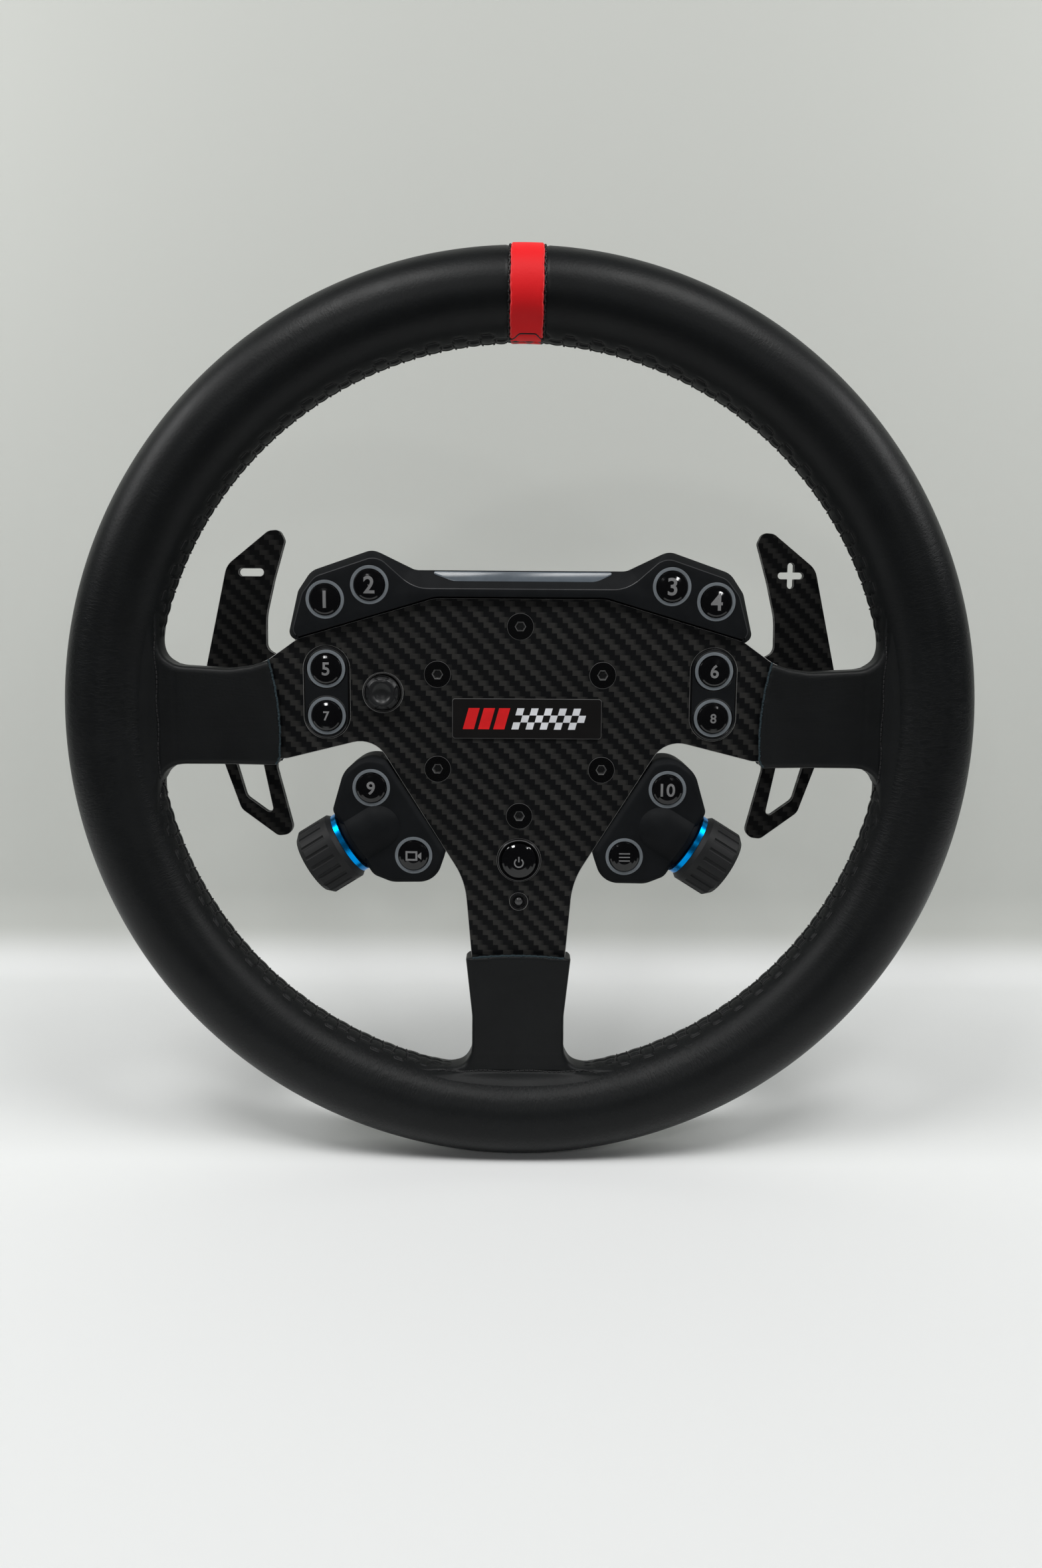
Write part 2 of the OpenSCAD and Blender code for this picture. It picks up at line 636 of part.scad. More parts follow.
module shifter_switches() {
  color([0.2, 0.2, 0.21]) wheel() pair() {
    translate([67, house_back, 1]) cube([9, 2, 8]);
    rod(magnet_x, lever_z, magnet_y, house_back + bracket_h - stop_t, magnet_r);
  }
}

// ---- Rear housing ----
module rear_housing() {
  color([0.09, 0.09, 0.1]) wheel() difference() {
    union() {
      difference() {
        union() {
          slab(back, house_back) house_outline(0);
          slab(6, house_back) shape(both_halves(HOUSE_HALF));
        }
        slab(back - 1, house_back - house_wall) offset(delta = -house_wall) house_outline(0.4);
        slab(5, house_back - house_wall) offset(delta = -house_wall) shape(both_halves(HOUSE_HALF));
      }
      difference() {
        rod(0, 0, back, house_back, well_r + well_wall);
        slab(back - 1, back + 5) pod_ear_room();
      }
      pair() for (s = HOUSING_SCREWS) rod(s[0], s[1], back, house_back, boss_r);
      pair() rod(bracket_screw[0], bracket_screw[1], 13, house_back - 1, 2.6);
    }
    rod(start_at[0], start_at[1], back - 1, back + 1.7, 9.7);
    translate([stick_at[0] - 8.7, back - 1, stick_at[1] - 8.7]) cube([17.4, 10, 17.4]);
    pair() rod(bracket_screw[0], bracket_screw[1], 13.8, house_back + 1, 1.55);
    rod(0, 0, 0, house_back + 1, well_r);
    pair() slab(back - 1, back + 1.7) pill(pill_r, 1.8);
    pair() for (s = HOUSING_SCREWS) rod(s[0], s[1], 0, house_back + 1, screw_hole_r);
  }
}
module pod_ear_room() {
  for (m = [-1, 1], s = POD_SCREWS) translate([m * s[0], s[1]]) circle(r = ear_r + 0.5);
}
// The part of the housing that lies flat on the plate, clear of the top pod and the ears
module house_outline(inset) {
  difference() {
    intersection() {
      shape(both_halves(HOUSE_HALF));
      offset(delta = -2 - inset) plate_outline();
    }
    pod_ear_room();
  }
}
module housing_screws() {
  color([0.12, 0.12, 0.12]) wheel() pair() {
    for (s = HOUSING_SCREWS) button_screw(s, s[2], -0.5);
    for (s = POD_SCREWS) button_screw(s, back + ear_h, -0.5);
    button_screw(bracket_screw, house_back + bracket_t, 14);
  }
}
// A button-head screw with its head on the surface at y and its tip at depth tip
module button_screw(s, y, tip) {
  rod(s[0], s[1], tip, y, screw_r);
  difference() {
    rod(s[0], s[1], y, y + head_h, head_r);
    translate([s[0], y + 0.7, s[1]]) rotate([-90, 0, 0]) cylinder(r = 1.1, h = 2, $fn = 6);
  }
}

// ---- Quick release ----
module hub() {
  color([0.2, 0.2, 0.21]) wheel() difference() {
    union() {
      rod(0, 0, back, back + hub_flange_t, flange_r);
      rod(0, 0, back + hub_flange_t, shoulder_y, shoulder_r);
      rod(0, 0, shoulder_y, hub_reach, hub_body_r);
      rod(0, 0, hub_reach - hub_lip_h, hub_reach, hub_body_r + 1.5);
    }
    rod(0, 0, hub_reach - bore_depth, hub_reach + 1, bore_r);
    for (i = [0:bolt_count - 1]) bolt_place(i) rod(0, 0, back - 1, back + hub_flange_t + 1, bolt_r + fit_gap);
    for (i = [0:ball_count - 1]) ball_place(i) {
      translate([0, 0, -4]) cylinder(r = ball_lip_r, h = 8);
      translate([0, 0, -1.7]) cylinder(r = ball_r + fit_gap, h = 10);
    }
  }
}
module ball_place(i) {
  rotate([0, 360 / ball_count * i, 0]) translate([0, ball_y, ball_reach]) children();
}
module lock_balls() {
  color([0.8, 0.8, 0.82]) wheel() for (i = [0:ball_count - 1]) ball_place(i) sphere(r = ball_r);
}
collar_y0 = 36;
collar_y1 = 51;
module release_collar() {
  color([0.12, 0.12, 0.13]) wheel() turned(0, 0) polygon([
    [hub_body_r + fit_gap, collar_y0], [collar_r - 1, collar_y0], [collar_r, collar_y0 + 1],
    [collar_r, collar_y0 + 4], [collar_r - 1.2, collar_y0 + 5], [collar_r - 1.2, collar_y1 - 3],
    [collar_r, collar_y1 - 2], [collar_r - 0.6, collar_y1], [hub_body_r + 1.8, collar_y1],
    [hub_body_r + 1.8, collar_y0 + 4.6], [hub_body_r + fit_gap, collar_y0 + 3.6]]);
}
// A coil of round wire, swept as rings of points along a helix
spring_r = 23.6;
spring_wire = 1;
spring_turns = 4;
spring_steps = 20;
function spring_ring(k) =
  let (a = 360 * k / spring_steps, y = 25.1 + (collar_y0 - 26.2) * k / (spring_steps * spring_turns))
  [for (j = [0:7]) let (b = 45 * j, r = spring_r + spring_wire * cos(b))
    [r * cos(a), y + spring_wire * sin(b), r * sin(a)]];
module release_spring() {
  last = spring_steps * spring_turns;
  points = [for (k = [0:last]) each spring_ring(k)];
  sides = [for (k = [0:last - 1], j = [0:7])
    [8 * k + j, 8 * k + (j + 1) % 8, 8 * (k + 1) + (j + 1) % 8, 8 * (k + 1) + j]];
  ends = [[for (j = [7:-1:0]) j], [for (j = [0:7]) 8 * last + j]];
  color([0.7, 0.7, 0.72]) wheel() polyhedron(points, concat(sides, ends));
}

spoke_plate();
rim_core();
rim_foam();
rim_leather();
rim_thread();
centre_stripe();
sleeve_left();
sleeve_right();
sleeve_bottom();
plate_screws();
badge();
top_bezel();
light_bar();
circuit_boards();
pod_bezel_left();
pod_bezel_right();
pod_shells();
pill_bezels();
plate_rings();
status_light();
light_rings();
tact_switches();
stick_housing();
stick_gimbal();
thumb_stick();
cap(BUTTONS[0], cap_r);  // cap_1
cap(BUTTONS[1], cap_r);  // cap_2
cap(BUTTONS[2], cap_r);  // cap_3
cap(BUTTONS[3], cap_r);  // cap_4
cap(BUTTONS[4], cap_r);  // cap_5
cap(BUTTONS[5], cap_r);  // cap_6
cap(BUTTONS[6], cap_r);  // cap_7
cap(BUTTONS[7], cap_r);  // cap_8
cap(BUTTONS[8], cap_r);  // cap_9
cap(BUTTONS[9], cap_r);  // cap_10
cap(BUTTONS[10], cap_r);  // cap_11
cap(BUTTONS[11], cap_r);  // cap_12
start_cap();
knob_left();
knob_right();
knob_ring_left();
knob_ring_right();
encoder_shaft_left();
encoder_shaft_right();
encoder_bodies();
paddle_left();
paddle_right();
lever_left();
lever_right();
paddle_screws_left();
paddle_screws_right();
pivot_pins();
shifter_brackets();
shifter_switches();
rear_housing();
housing_screws();
hub();
lock_balls();
release_collar();
release_spring();
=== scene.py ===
"""Looks for the racing wheel: leather rim and sleeves, stitching, carbon plate and paddles,
button pods, encoders, thumb stick, shift paddles and quick-release hub.

Lengths are in millimetres about the rim centre: X right, Y away from the driver, Z up.
place() turns them into the row frame's metres.
"""

import json
import math

import bmesh
import bpy
import numpy as np
from mathutils import Matrix, Vector


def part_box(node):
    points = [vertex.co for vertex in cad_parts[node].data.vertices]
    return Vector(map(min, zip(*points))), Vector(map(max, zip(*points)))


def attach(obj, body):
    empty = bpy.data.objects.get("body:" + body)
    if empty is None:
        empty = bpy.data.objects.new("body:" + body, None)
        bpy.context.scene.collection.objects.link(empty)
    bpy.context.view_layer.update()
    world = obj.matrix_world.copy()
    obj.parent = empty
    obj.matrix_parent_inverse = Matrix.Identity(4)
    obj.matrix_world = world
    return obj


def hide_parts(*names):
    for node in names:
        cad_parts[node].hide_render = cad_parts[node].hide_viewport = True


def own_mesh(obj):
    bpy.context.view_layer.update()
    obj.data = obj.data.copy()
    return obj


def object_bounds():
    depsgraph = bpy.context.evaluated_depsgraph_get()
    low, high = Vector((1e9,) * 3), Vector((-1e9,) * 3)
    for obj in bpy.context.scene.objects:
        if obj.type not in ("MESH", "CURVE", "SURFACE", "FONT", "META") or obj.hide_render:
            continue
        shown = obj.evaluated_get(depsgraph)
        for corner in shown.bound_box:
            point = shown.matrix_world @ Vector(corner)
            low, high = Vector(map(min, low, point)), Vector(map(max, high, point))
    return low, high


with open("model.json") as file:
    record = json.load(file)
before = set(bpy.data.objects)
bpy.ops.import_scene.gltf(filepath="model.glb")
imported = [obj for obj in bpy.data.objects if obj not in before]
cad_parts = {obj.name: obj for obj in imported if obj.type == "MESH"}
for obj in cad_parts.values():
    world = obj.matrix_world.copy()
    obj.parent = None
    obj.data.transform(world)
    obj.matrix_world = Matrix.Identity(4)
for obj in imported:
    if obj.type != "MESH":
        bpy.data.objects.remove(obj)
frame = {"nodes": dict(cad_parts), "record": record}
cad_low, cad_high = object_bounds()

MM = 0.001


def centre_of(node):
    low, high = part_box(node)
    return (low + high) / 2


def size_of(node):
    low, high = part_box(node)
    return high - low


# Driving dimensions, read from the frame
RIM_Y = centre_of("rim_foam").y / MM
TUBE_R = size_of("rim_leather").y / MM / 2
RIM_R = size_of("rim_leather").x / MM / 2 - TUBE_R
PLATE_T = size_of("spoke_plate").y / MM
SLEEVE_T = size_of("sleeve_left").y / MM / 2
STRIPE_X = centre_of("centre_stripe").x / MM
STRIPE_W = 11.8
FRONT = -PLATE_T / 2
POD_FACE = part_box("top_bezel")[0].y / MM - RIM_Y
FLOOR_Z = cad_low.z / MM
BOLT_HEAD_R = 5.05
BOLT_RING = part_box("plate_screws")[1].z / MM - BOLT_HEAD_R
SOCKET_R, SOCKET_WALL = 1.85, 1.95

# ---- Numbers and mesh helpers ----


def place(points):
    """Millimetres about the rim centre to metres in the row frame."""
    points = np.asarray(points, float).reshape(-1, 3)
    return (points + [0, RIM_Y, 0]) * MM


def smoothstep(low, high, value):
    t = np.clip((value - low) / (high - low), 0, 1)
    return t * t * (3 - 2 * t)


def hump(value, width):
    """1 where the value is 0, falling smoothly to 0 over about the width."""
    return np.exp(-((value / width) ** 2))


def add_piece(name, shape, material, body="wheel", smooth=True, replaces=()):
    """A mesh that rides a body, takes a finish and may stand for CAD nodes, which it hides.
    The shape is a list of points and a list of faces."""
    points, faces = shape
    mesh = bpy.data.meshes.new(name)
    mesh.from_pydata(place(points).tolist(), [], [list(f) for f in faces])
    mesh.validate()
    mesh.polygons.foreach_set("use_smooth", [smooth] * len(mesh.polygons))
    piece = bpy.data.objects.new(name, mesh)
    bpy.context.scene.collection.objects.link(piece)
    mesh.materials.append(material)
    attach(piece, body)
    if replaces:
        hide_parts(*replaces)
    return piece


def mirrored(points):
    return np.asarray(points, float) * [-1, 1, 1]


def flipped(faces):
    return [tuple(reversed(f)) for f in faces]


def grid_faces(rows, columns, wrap_rows=False, wrap_columns=False):
    """Quads of a grid of points stored row by row."""
    faces = []
    for i in range(rows if wrap_rows else rows - 1):
        for j in range(columns if wrap_columns else columns - 1):
            a, b = i * columns, ((i + 1) % rows) * columns
            faces.append((a + j, a + (j + 1) % columns, b + (j + 1) % columns, b + j))
    return faces


def join_parts(parts):
    """One list of points and faces from several."""
    points, faces, start = [], [], 0
    for p, f in parts:
        p = np.asarray(p, float).reshape(-1, 3)
        points.append(p)
        faces += [tuple(start + i for i in face) for face in f]
        start += len(p)
    return np.concatenate(points), faces


def tube(path, radius, sides=6):
    """A round tube along a list of points, closed at both ends."""
    path = np.asarray(path, float)
    ahead = np.gradient(path, axis=0)
    ahead /= np.linalg.norm(ahead, axis=1)[:, None]
    up = np.array([0.0, 1.0, 0.0]) if abs(ahead[0][1]) < 0.9 else np.array([1.0, 0.0, 0.0])
    radius = np.broadcast_to(radius, len(path))
    rings = []
    for p, d, r in zip(path, ahead, radius):
        side = np.cross(d, up)
        side /= np.linalg.norm(side)
        up = np.cross(side, d)
        turn = np.arange(sides) * 2 * math.pi / sides
        rings.append(p + r * (np.cos(turn)[:, None] * side + np.sin(turn)[:, None] * up))
    points = np.concatenate(rings)
    faces = grid_faces(len(path), sides, wrap_columns=True)
    faces.append(tuple(range(sides)))
    faces.append(tuple(reversed(range(len(points) - sides, len(points)))))
    return points, faces


def revolved(profile, centre, steps):
    """A shape turned about an axis along Y. The profile is a list of (radius, y)."""
    profile = np.asarray(profile, float)
    turn = np.arange(steps) * 2 * math.pi / steps
    x = profile[:, :1] * np.cos(turn)
    z = profile[:, :1] * np.sin(turn)
    y = np.repeat(profile[:, 1:], steps, axis=1)
    points = np.stack([x + centre[0], y, z + centre[1]], -1).reshape(-1, 3)
    faces = grid_faces(len(profile), steps, wrap_columns=True)
    return points, faces


# ---- Outlines: corners [x, z, radius] with their corners rounded ----


def rounded(corners, steps=10):
    outline = []
    count = len(corners)
    for i, (x, z, radius) in enumerate(corners):
        corner = np.array([x, z], float)
        if radius == 0:
            outline.append(corner)
            continue
        before = np.array(corners[i - 1][:2], float) - corner
        after = np.array(corners[(i + 1) % count][:2], float) - corner
        u = before / np.linalg.norm(before)
        v = after / np.linalg.norm(after)
        half = math.acos(float(np.clip(u @ v, -1, 1))) / 2
        centre = corner + (u + v) / np.linalg.norm(u + v) * radius / math.sin(half)
        start = corner + u * radius / math.tan(half) - centre
        end = corner + v * radius / math.tan(half) - centre
        angle = math.atan2(start[1], start[0])
        turn = math.atan2(start[0] * end[1] - start[1] * end[0], float(start @ end))
        for k in range(steps + 1):
            a = angle + turn * k / steps
            outline.append(centre + radius * np.array([math.cos(a), math.sin(a)]))
    return np.array(outline)


def both_halves(corners):
    left = [(-x, z, r) for x, z, r in reversed(corners) if abs(x) > 0.001]
    return list(corners) + left


def outline_normals(outline):
    """Outward normals of a clockwise outline."""
    along = np.roll(outline, -1, 0) - outline
    along /= np.linalg.norm(along, axis=1)[:, None] + 1e-12
    normal = np.stack([-along[:, 1], along[:, 0]], 1)
    mean = normal + np.roll(normal, 1, 0)
    mean /= (mean * normal).sum(1)[:, None].clip(0.6)
    return mean


def grown(outline, amount):
    return outline + outline_normals(outline) * amount


def distance_to_outline(outline, x, z):
    """Signed distance, negative inside."""
    shape = x.shape
    p = np.stack([x.ravel(), z.ravel()], 1)
    best = np.full(len(p), 1e9)
    inside = np.zeros(len(p), bool)
    for a, b in zip(outline, np.roll(outline, -1, 0)):
        edge = b - a
        length = edge @ edge
        if length < 1e-12:
            continue
        t = np.clip(((p - a) @ edge) / length, 0, 1)
        best = np.minimum(best, ((p - a - t[:, None] * edge) ** 2).sum(1))
        crosses = (a[1] > p[:, 1]) != (b[1] > p[:, 1])
        with np.errstate(divide="ignore", invalid="ignore"):
            at = (b[0] - a[0]) * (p[:, 1] - a[1]) / (b[1] - a[1]) + a[0]
        inside ^= crosses & (p[:, 0] < at)
    return (np.sqrt(best) * np.where(inside, -1, 1)).reshape(shape)


def surface_of(distance, low, high, step):
    """Quads of the zero surface of distance(x, y, z), by surface nets."""
    low, high = np.asarray(low, float), np.asarray(high, float)
    counts = np.ceil((high - low) / step).astype(int) + 1
    axes = [low[k] + np.arange(counts[k]) * step for k in range(3)]
    field = distance(*np.meshgrid(*axes, indexing="ij"))
    inside = field < 0
    corners = [(i, j, k) for i in (0, 1) for j in (0, 1) for k in (0, 1)]
    cut = tuple(c - 1 for c in counts)

    def corner(array, c):
        return array[c[0] : c[0] + cut[0], c[1] : c[1] + cut[1], c[2] : c[2] + cut[2]]

    total = sum(corner(inside, c).astype(int) for c in corners)
    active = (total > 0) & (total < 8)
    number = np.full(cut, -1)
    number[active] = np.arange(active.sum())
    summed = np.zeros((int(active.sum()), 3))
    crossings = np.zeros(len(summed))
    for a in corners:
        for axis in range(3):
            if a[axis]:
                continue
            b = tuple(v + (i == axis) for i, v in enumerate(a))
            fa, fb = corner(field, a)[active], corner(field, b)[active]
            cross = (fa < 0) != (fb < 0)
            t = np.where(cross, fa / np.where(cross, fa - fb, 1), 0)
            point = np.array(a, float) + t[:, None] * (np.array(b) - np.array(a))
            summed[cross] += point[cross]
            crossings[cross] += 1
    cells = np.argwhere(active)
    points = low + (cells + summed / crossings[:, None]) * step
    faces = []
    for axis in range(3):
        u, v = (axis + 1) % 3, (axis + 2) % 3
        first = np.take(inside, range(counts[axis] - 1), axis)
        second = np.take(inside, range(1, counts[axis]), axis)
        for i, j, k in np.argwhere(first != second):
            cell = np.array([i, j, k])
            if cell[u] == 0 or cell[v] == 0 or cell[u] >= cut[u] or cell[v] >= cut[v]:
                continue
            ring = []
            for du, dv in ((0, 0), (-1, 0), (-1, -1), (0, -1)):
                c = cell.copy()
                c[u] += du
                c[v] += dv
                ring.append(int(number[tuple(c)]))
            faces.append(tuple(ring if first[i, j, k] else reversed(ring)))
    for _ in range(2):
        here = distance(*points.T)
        tiny = 0.02
        slope = np.stack(
            [(distance(*(points + tiny * np.eye(3)[k]).T) - here) / tiny for k in range(3)], 1
        )
        length = (slope**2).sum(1)[:, None].clip(0.25)
        points -= np.clip(here[:, None] * slope / length, -0.4 * step, 0.4 * step)
    return points, faces


# ---- Materials ----


class Finish:
    """A node material with short ways to add nodes. Lengths in it are in metres."""

    def __init__(self, name, colour, roughness, metallic=0.0, **sockets):
        self.material = bpy.data.materials.new(name)
        self.material.use_nodes = True
        self.tree = self.material.node_tree
        self.shader = self.tree.nodes["Principled BSDF"]
        self.set("Base Color", (*colour, 1))
        self.set("Roughness", roughness)
        self.set("Metallic", metallic)
        for socket, value in sockets.items():
            self.set(socket.replace("_", " "), value)
        self.material.diffuse_color = (*colour, 1)

    def set(self, socket, value):
        if isinstance(value, bpy.types.NodeSocket):
            self.tree.links.new(value, self.shader.inputs[socket])
        else:
            self.shader.inputs[socket].default_value = value

    def add(self, kind, inputs=(), output=0, **settings):
        node = self.tree.nodes.new("ShaderNode" + kind)
        for key, value in settings.items():
            setattr(node, key, value)
        for key, value in dict(inputs).items():
            if isinstance(value, bpy.types.NodeSocket):
                self.tree.links.new(value, node.inputs[key])
            else:
                node.inputs[key].default_value = value
        return node.outputs[output]

    def math(self, operation, a, b=0.0, clamp=False):
        return self.add("Math", {0: a, 1: b}, operation=operation, use_clamp=clamp)

    def plus(self, a, b):
        return self.math("ADD", a, b)

    def minus(self, a, b):
        return self.math("SUBTRACT", a, b)

    def times(self, a, b):
        return self.math("MULTIPLY", a, b)

    def over(self, a, b):
        return self.math("DIVIDE", a, b)

    def length(self, a, b):
        return self.math("SQRT", self.plus(self.times(a, a), self.times(b, b)))

    def position(self):
        return self.add("TexCoord", output="Object")

    def axes(self, vector):
        return [self.add("SeparateXYZ", {0: vector}, output=k) for k in range(3)]

    def scaled(self, vector, scale):
        return self.add("VectorMath", {0: vector, 1: scale}, operation="MULTIPLY")

    def noise(self, vector, scale, detail=3.0, roughness=0.55):
        return self.add(
            "TexNoise", {"Vector": vector, "Scale": scale, "Detail": detail, "Roughness": roughness}
        )

    def ramp(self, value, low, high, out_low=0.0, out_high=1.0):
        return self.add(
            "MapRange",
            {"Value": value, 1: low, 2: high, 3: out_low, 4: out_high},
            interpolation_type="SMOOTHSTEP",
        )

    def paint(self, factor, a, b):
        """Colours the surface from a to b as the factor goes from 0 to 1."""
        colours = {0: factor, 6: (*a, 1), 7: (*b, 1)}
        self.set("Base Color", self.add("Mix", colours, output=2, data_type="RGBA"))

    def roughen(self, value, start, change):
        self.set("Roughness", self.plus(start, self.times(value, change)))

    def bump(self, height, strength, distance):
        sockets = {"Height": height, "Strength": strength, "Distance": distance}
        self.set("Normal", self.add("Bump", sockets))


def lighter(colour, times):
    return tuple(times * c for c in colour)


def leather(name, colour, light_colour, roughness, wrinkles=1.0):
    """Grained leather whose fine wrinkles run round the rim tube."""
    f = Finish(name, colour, roughness, Specular_IOR_Level=0.2)
    p = f.position()
    x, y, z = f.axes(p)
    y = f.minus(y, RIM_Y * MM)
    radius = f.length(x, z)
    from_tube = f.minus(radius, RIM_R * MM)
    round_tube = f.times(f.math("ARCTAN2", y, f.times(from_tube, -1.0)), TUBE_R * MM)
    along = f.add("CombineXYZ", {
        0: f.over(f.times(x, RIM_R * MM), radius),
        1: f.times(round_tube, 0.28),
        2: f.over(f.times(z, RIM_R * MM), radius)})
    cells = f.add("TexVoronoi", {"Vector": p, "Scale": 1050.0, "Randomness": 1.0}, feature="SMOOTH_F1")
    pores = f.noise(p, 2300.0, 2.0)
    creases = f.noise(along, 620.0, 4.0, 0.6)
    creases = f.math("ABSOLUTE", f.minus(creases, 0.5))
    creases = f.ramp(creases, 0.0, 0.11)
    patches = f.ramp(f.noise(p, 26.0, 2.0), 0.42, 0.66)
    # Wrinkles gather where the rim meets the spokes
    arms = f.math("MAXIMUM", f.ramp(f.math("ABSOLUTE", z), 0.085, 0.01), f.ramp(z, -0.085, -0.14))
    reach = f.plus(f.times(arms, 0.75), f.times(patches, 0.4))
    depth = f.math("MULTIPLY", reach, wrinkles, clamp=True)
    lines = f.plus(1.0, f.times(depth, f.minus(creases, 1.0)))
    height = f.plus(f.times(cells, 0.30), f.times(pores, 0.20))
    height = f.plus(height, f.times(lines, 0.55))
    f.bump(height, 0.42, 0.00022)
    tone = f.ramp(f.noise(p, 60.0, 4.0), 0.3, 0.75)
    f.paint(tone, colour, light_colour)
    f.roughen(f.noise(p, 90.0, 3.0), roughness - 0.05, 0.12)
    return f.material


TOW = 1.92
DULL_TOW, PAINTED_SHEEN_TOW = (0.0026, 0.0029, 0.0034), (0.025, 0.0246, 0.0234)


def carbon():
    """A 2 by 2 twill of flat tows under a satin coat, with a painted sheen on the tows that run across."""
    f = Finish("carbon_twill", (0.02, 0.02, 0.022), 0.42, Specular_IOR_Level=0.12)
    p = f.position()
    x, _, z = (f.over(axis, TOW * MM) for axis in f.axes(p))
    wobble = f.times(f.minus(f.noise(p, 240.0, 1.0), 0.5), 0.16)
    x = f.plus(f.plus(x, 200.0), wobble)
    z = f.plus(f.minus(200.0, z), wobble)
    row = f.math("FLOOR", z)
    phase = f.math("FLOORED_MODULO", f.minus(x, row), 4.0)
    across = f.math("LESS_THAN", phase, 2.0)
    # How far each float lies from where its tow dives under the next
    run = f.over(phase, 2.0)
    fade = f.ramp(run, 0.55, 1.0, 1.0, 0.35)
    down = f.minus(1.0, across)
    x_in = f.minus(f.math("FRACT", x), 0.5)
    z_in = f.minus(f.math("FRACT", z), 0.5)
    crown = f.plus(
        f.times(across, f.times(z_in, z_in)),
        f.times(down, f.times(x_in, x_in)))
    fibre_across = f.noise(f.scaled(p, (60.0, 60.0, 2600.0)), 1.0, 2.0)
    fibre_down = f.noise(f.scaled(p, (2600.0, 60.0, 60.0)), 1.0, 2.0)
    fibres = f.plus(f.times(across, fibre_across), f.times(down, fibre_down))
    cell = f.add("CombineXYZ", {0: f.math("FLOOR", f.over(f.minus(x, row), 4.0)),
                                1: row})
    shade = f.add("TexWhiteNoise", {0: cell}, output=0, noise_dimensions="3D")
    # Painted sheen: the tows that run across are painted lighter, and darker towards where each dives under,
    # standing in for the fibres' reflection
    light = f.times(across, fade)
    light = f.times(light, f.plus(0.75, f.times(shade, 0.4)))
    light = f.times(light, f.plus(0.75, f.times(fibres, 0.5)))
    f.paint(light, DULL_TOW, PAINTED_SHEEN_TOW)
    f.roughen(light, 0.47, -0.1)
    dive = f.times(f.times(fade, 0.5), across)
    height = f.minus(dive, f.times(crown, 1.6))
    height = f.plus(height, f.times(fibres, 0.12))
    f.bump(height, 0.22, 0.00012)
    return f.material


def plastic(name, colour, roughness, grain=0.16, **sockets):
    """Moulded plastic with a fine spark-eroded texture."""
    sockets.setdefault("Specular_IOR_Level", 0.22)
    f = Finish(name, colour, roughness, **sockets)
    p = f.position()
    fine = f.noise(p, 3400.0, 2.0)
    broad = f.noise(p, 130.0, 3.0)
    f.bump(f.plus(fine, f.times(broad, 0.3)), grain, 0.00008)
    tone = f.ramp(broad, 0.3, 0.7)
    f.paint(tone, colour, lighter(colour, 1.25))
    f.roughen(fine, roughness - 0.04, 0.08)
    return f.material


def metal(name, colour, roughness, brushed=0.0, grain=0.1):
    """Machined metal, with fine lines where it is brushed."""
    f = Finish(name, colour, roughness, 1.0)
    p = f.position()
    fine = f.noise(p, 2800.0, 2.0)
    lines = f.noise(f.scaled(p, (3000.0, 220.0, 3000.0)), 1.0, 2.0)
    height = f.plus(f.times(fine, 1.0 - brushed), f.times(lines, brushed))
    f.bump(height, grain, 0.00006)
    patches = f.noise(p, 160.0, 3.0)
    f.roughen(patches, roughness - 0.05, 0.1)
    f.paint(f.ramp(patches, 0.35, 0.7), colour, lighter(colour, 0.86))
    return f.material


BLACK_OXIDE = (0.05, 0.05, 0.052)


def screw():
    """Black oxide, with the walls of the plate screws' hexagon sockets painted bright and their floors a
    little lighter, a painted glint.
    """
    f = Finish("black_screw", BLACK_OXIDE, 0.2, 1.0)
    p = f.position()
    x, y, z = f.axes(p)
    from_hub = f.length(x, z)
    step = math.pi / 3
    turn = f.math("FLOORED_MODULO", f.plus(f.math("ARCTAN2", x, z), step / 2), step)
    turn = f.minus(turn, step / 2)
    ahead = f.minus(f.times(from_hub, f.math("COSINE", turn)), BOLT_RING * MM)
    aside = f.times(from_hub, f.math("SINE", turn))
    away = f.plus(f.times(ahead, ahead), f.times(aside, aside))
    socket = f.math("LESS_THAN", away, (SOCKET_R * MM) ** 2)
    face = (RIM_Y + FRONT) * MM
    deep = f.ramp(y, face + 0.05 * MM, face + 0.25 * MM)
    walls_only = f.math("LESS_THAN", y, face + SOCKET_WALL * MM)
    # Painted glint: the socket walls are painted bright and the socket floor a little lighter
    socket_glint = f.times(f.times(socket, deep), walls_only)
    socket_floor_glint = f.times(f.times(socket, deep), 0.16)
    f.paint(f.math("MAXIMUM", socket_glint, socket_floor_glint), BLACK_OXIDE, (0.6, 0.6, 0.59))
    f.roughen(socket_glint, 0.2, 0.16)
    f.bump(f.noise(p, 2800.0, 2.0), 0.05, 0.00006)
    return f.material


GLOSS_BLACK = (0.0045, 0.0045, 0.005)


def status_lens():
    """Gloss black bezel round a small grey dome."""
    f = Finish("status_lens", GLOSS_BLACK, 0.2)
    p = f.position()
    middle = centre_of("status_light")
    x, _, z = f.axes(p)
    x, z = f.minus(x, middle.x), f.minus(z, middle.z)
    away = f.length(x, z)
    dome = f.ramp(away, 1.5 * MM, 1.3 * MM)
    f.paint(dome, GLOSS_BLACK, (0.05, 0.05, 0.051))
    f.bump(f.noise(p, 3000.0, 2.0), 0.04, 0.00006)
    return f.material


def thread(name, colour):
    """Twisted waxed thread."""
    f = Finish(name, colour, 0.5)
    p = f.position()
    twist = f.add("TexWave", {"Vector": p, "Scale": 900.0, "Distortion": 3.0, "Detail": 2.0})
    f.bump(twist, 0.5, 0.0001)
    f.paint(f.noise(p, 700.0), colour, lighter(colour, 2.2))
    return f.material


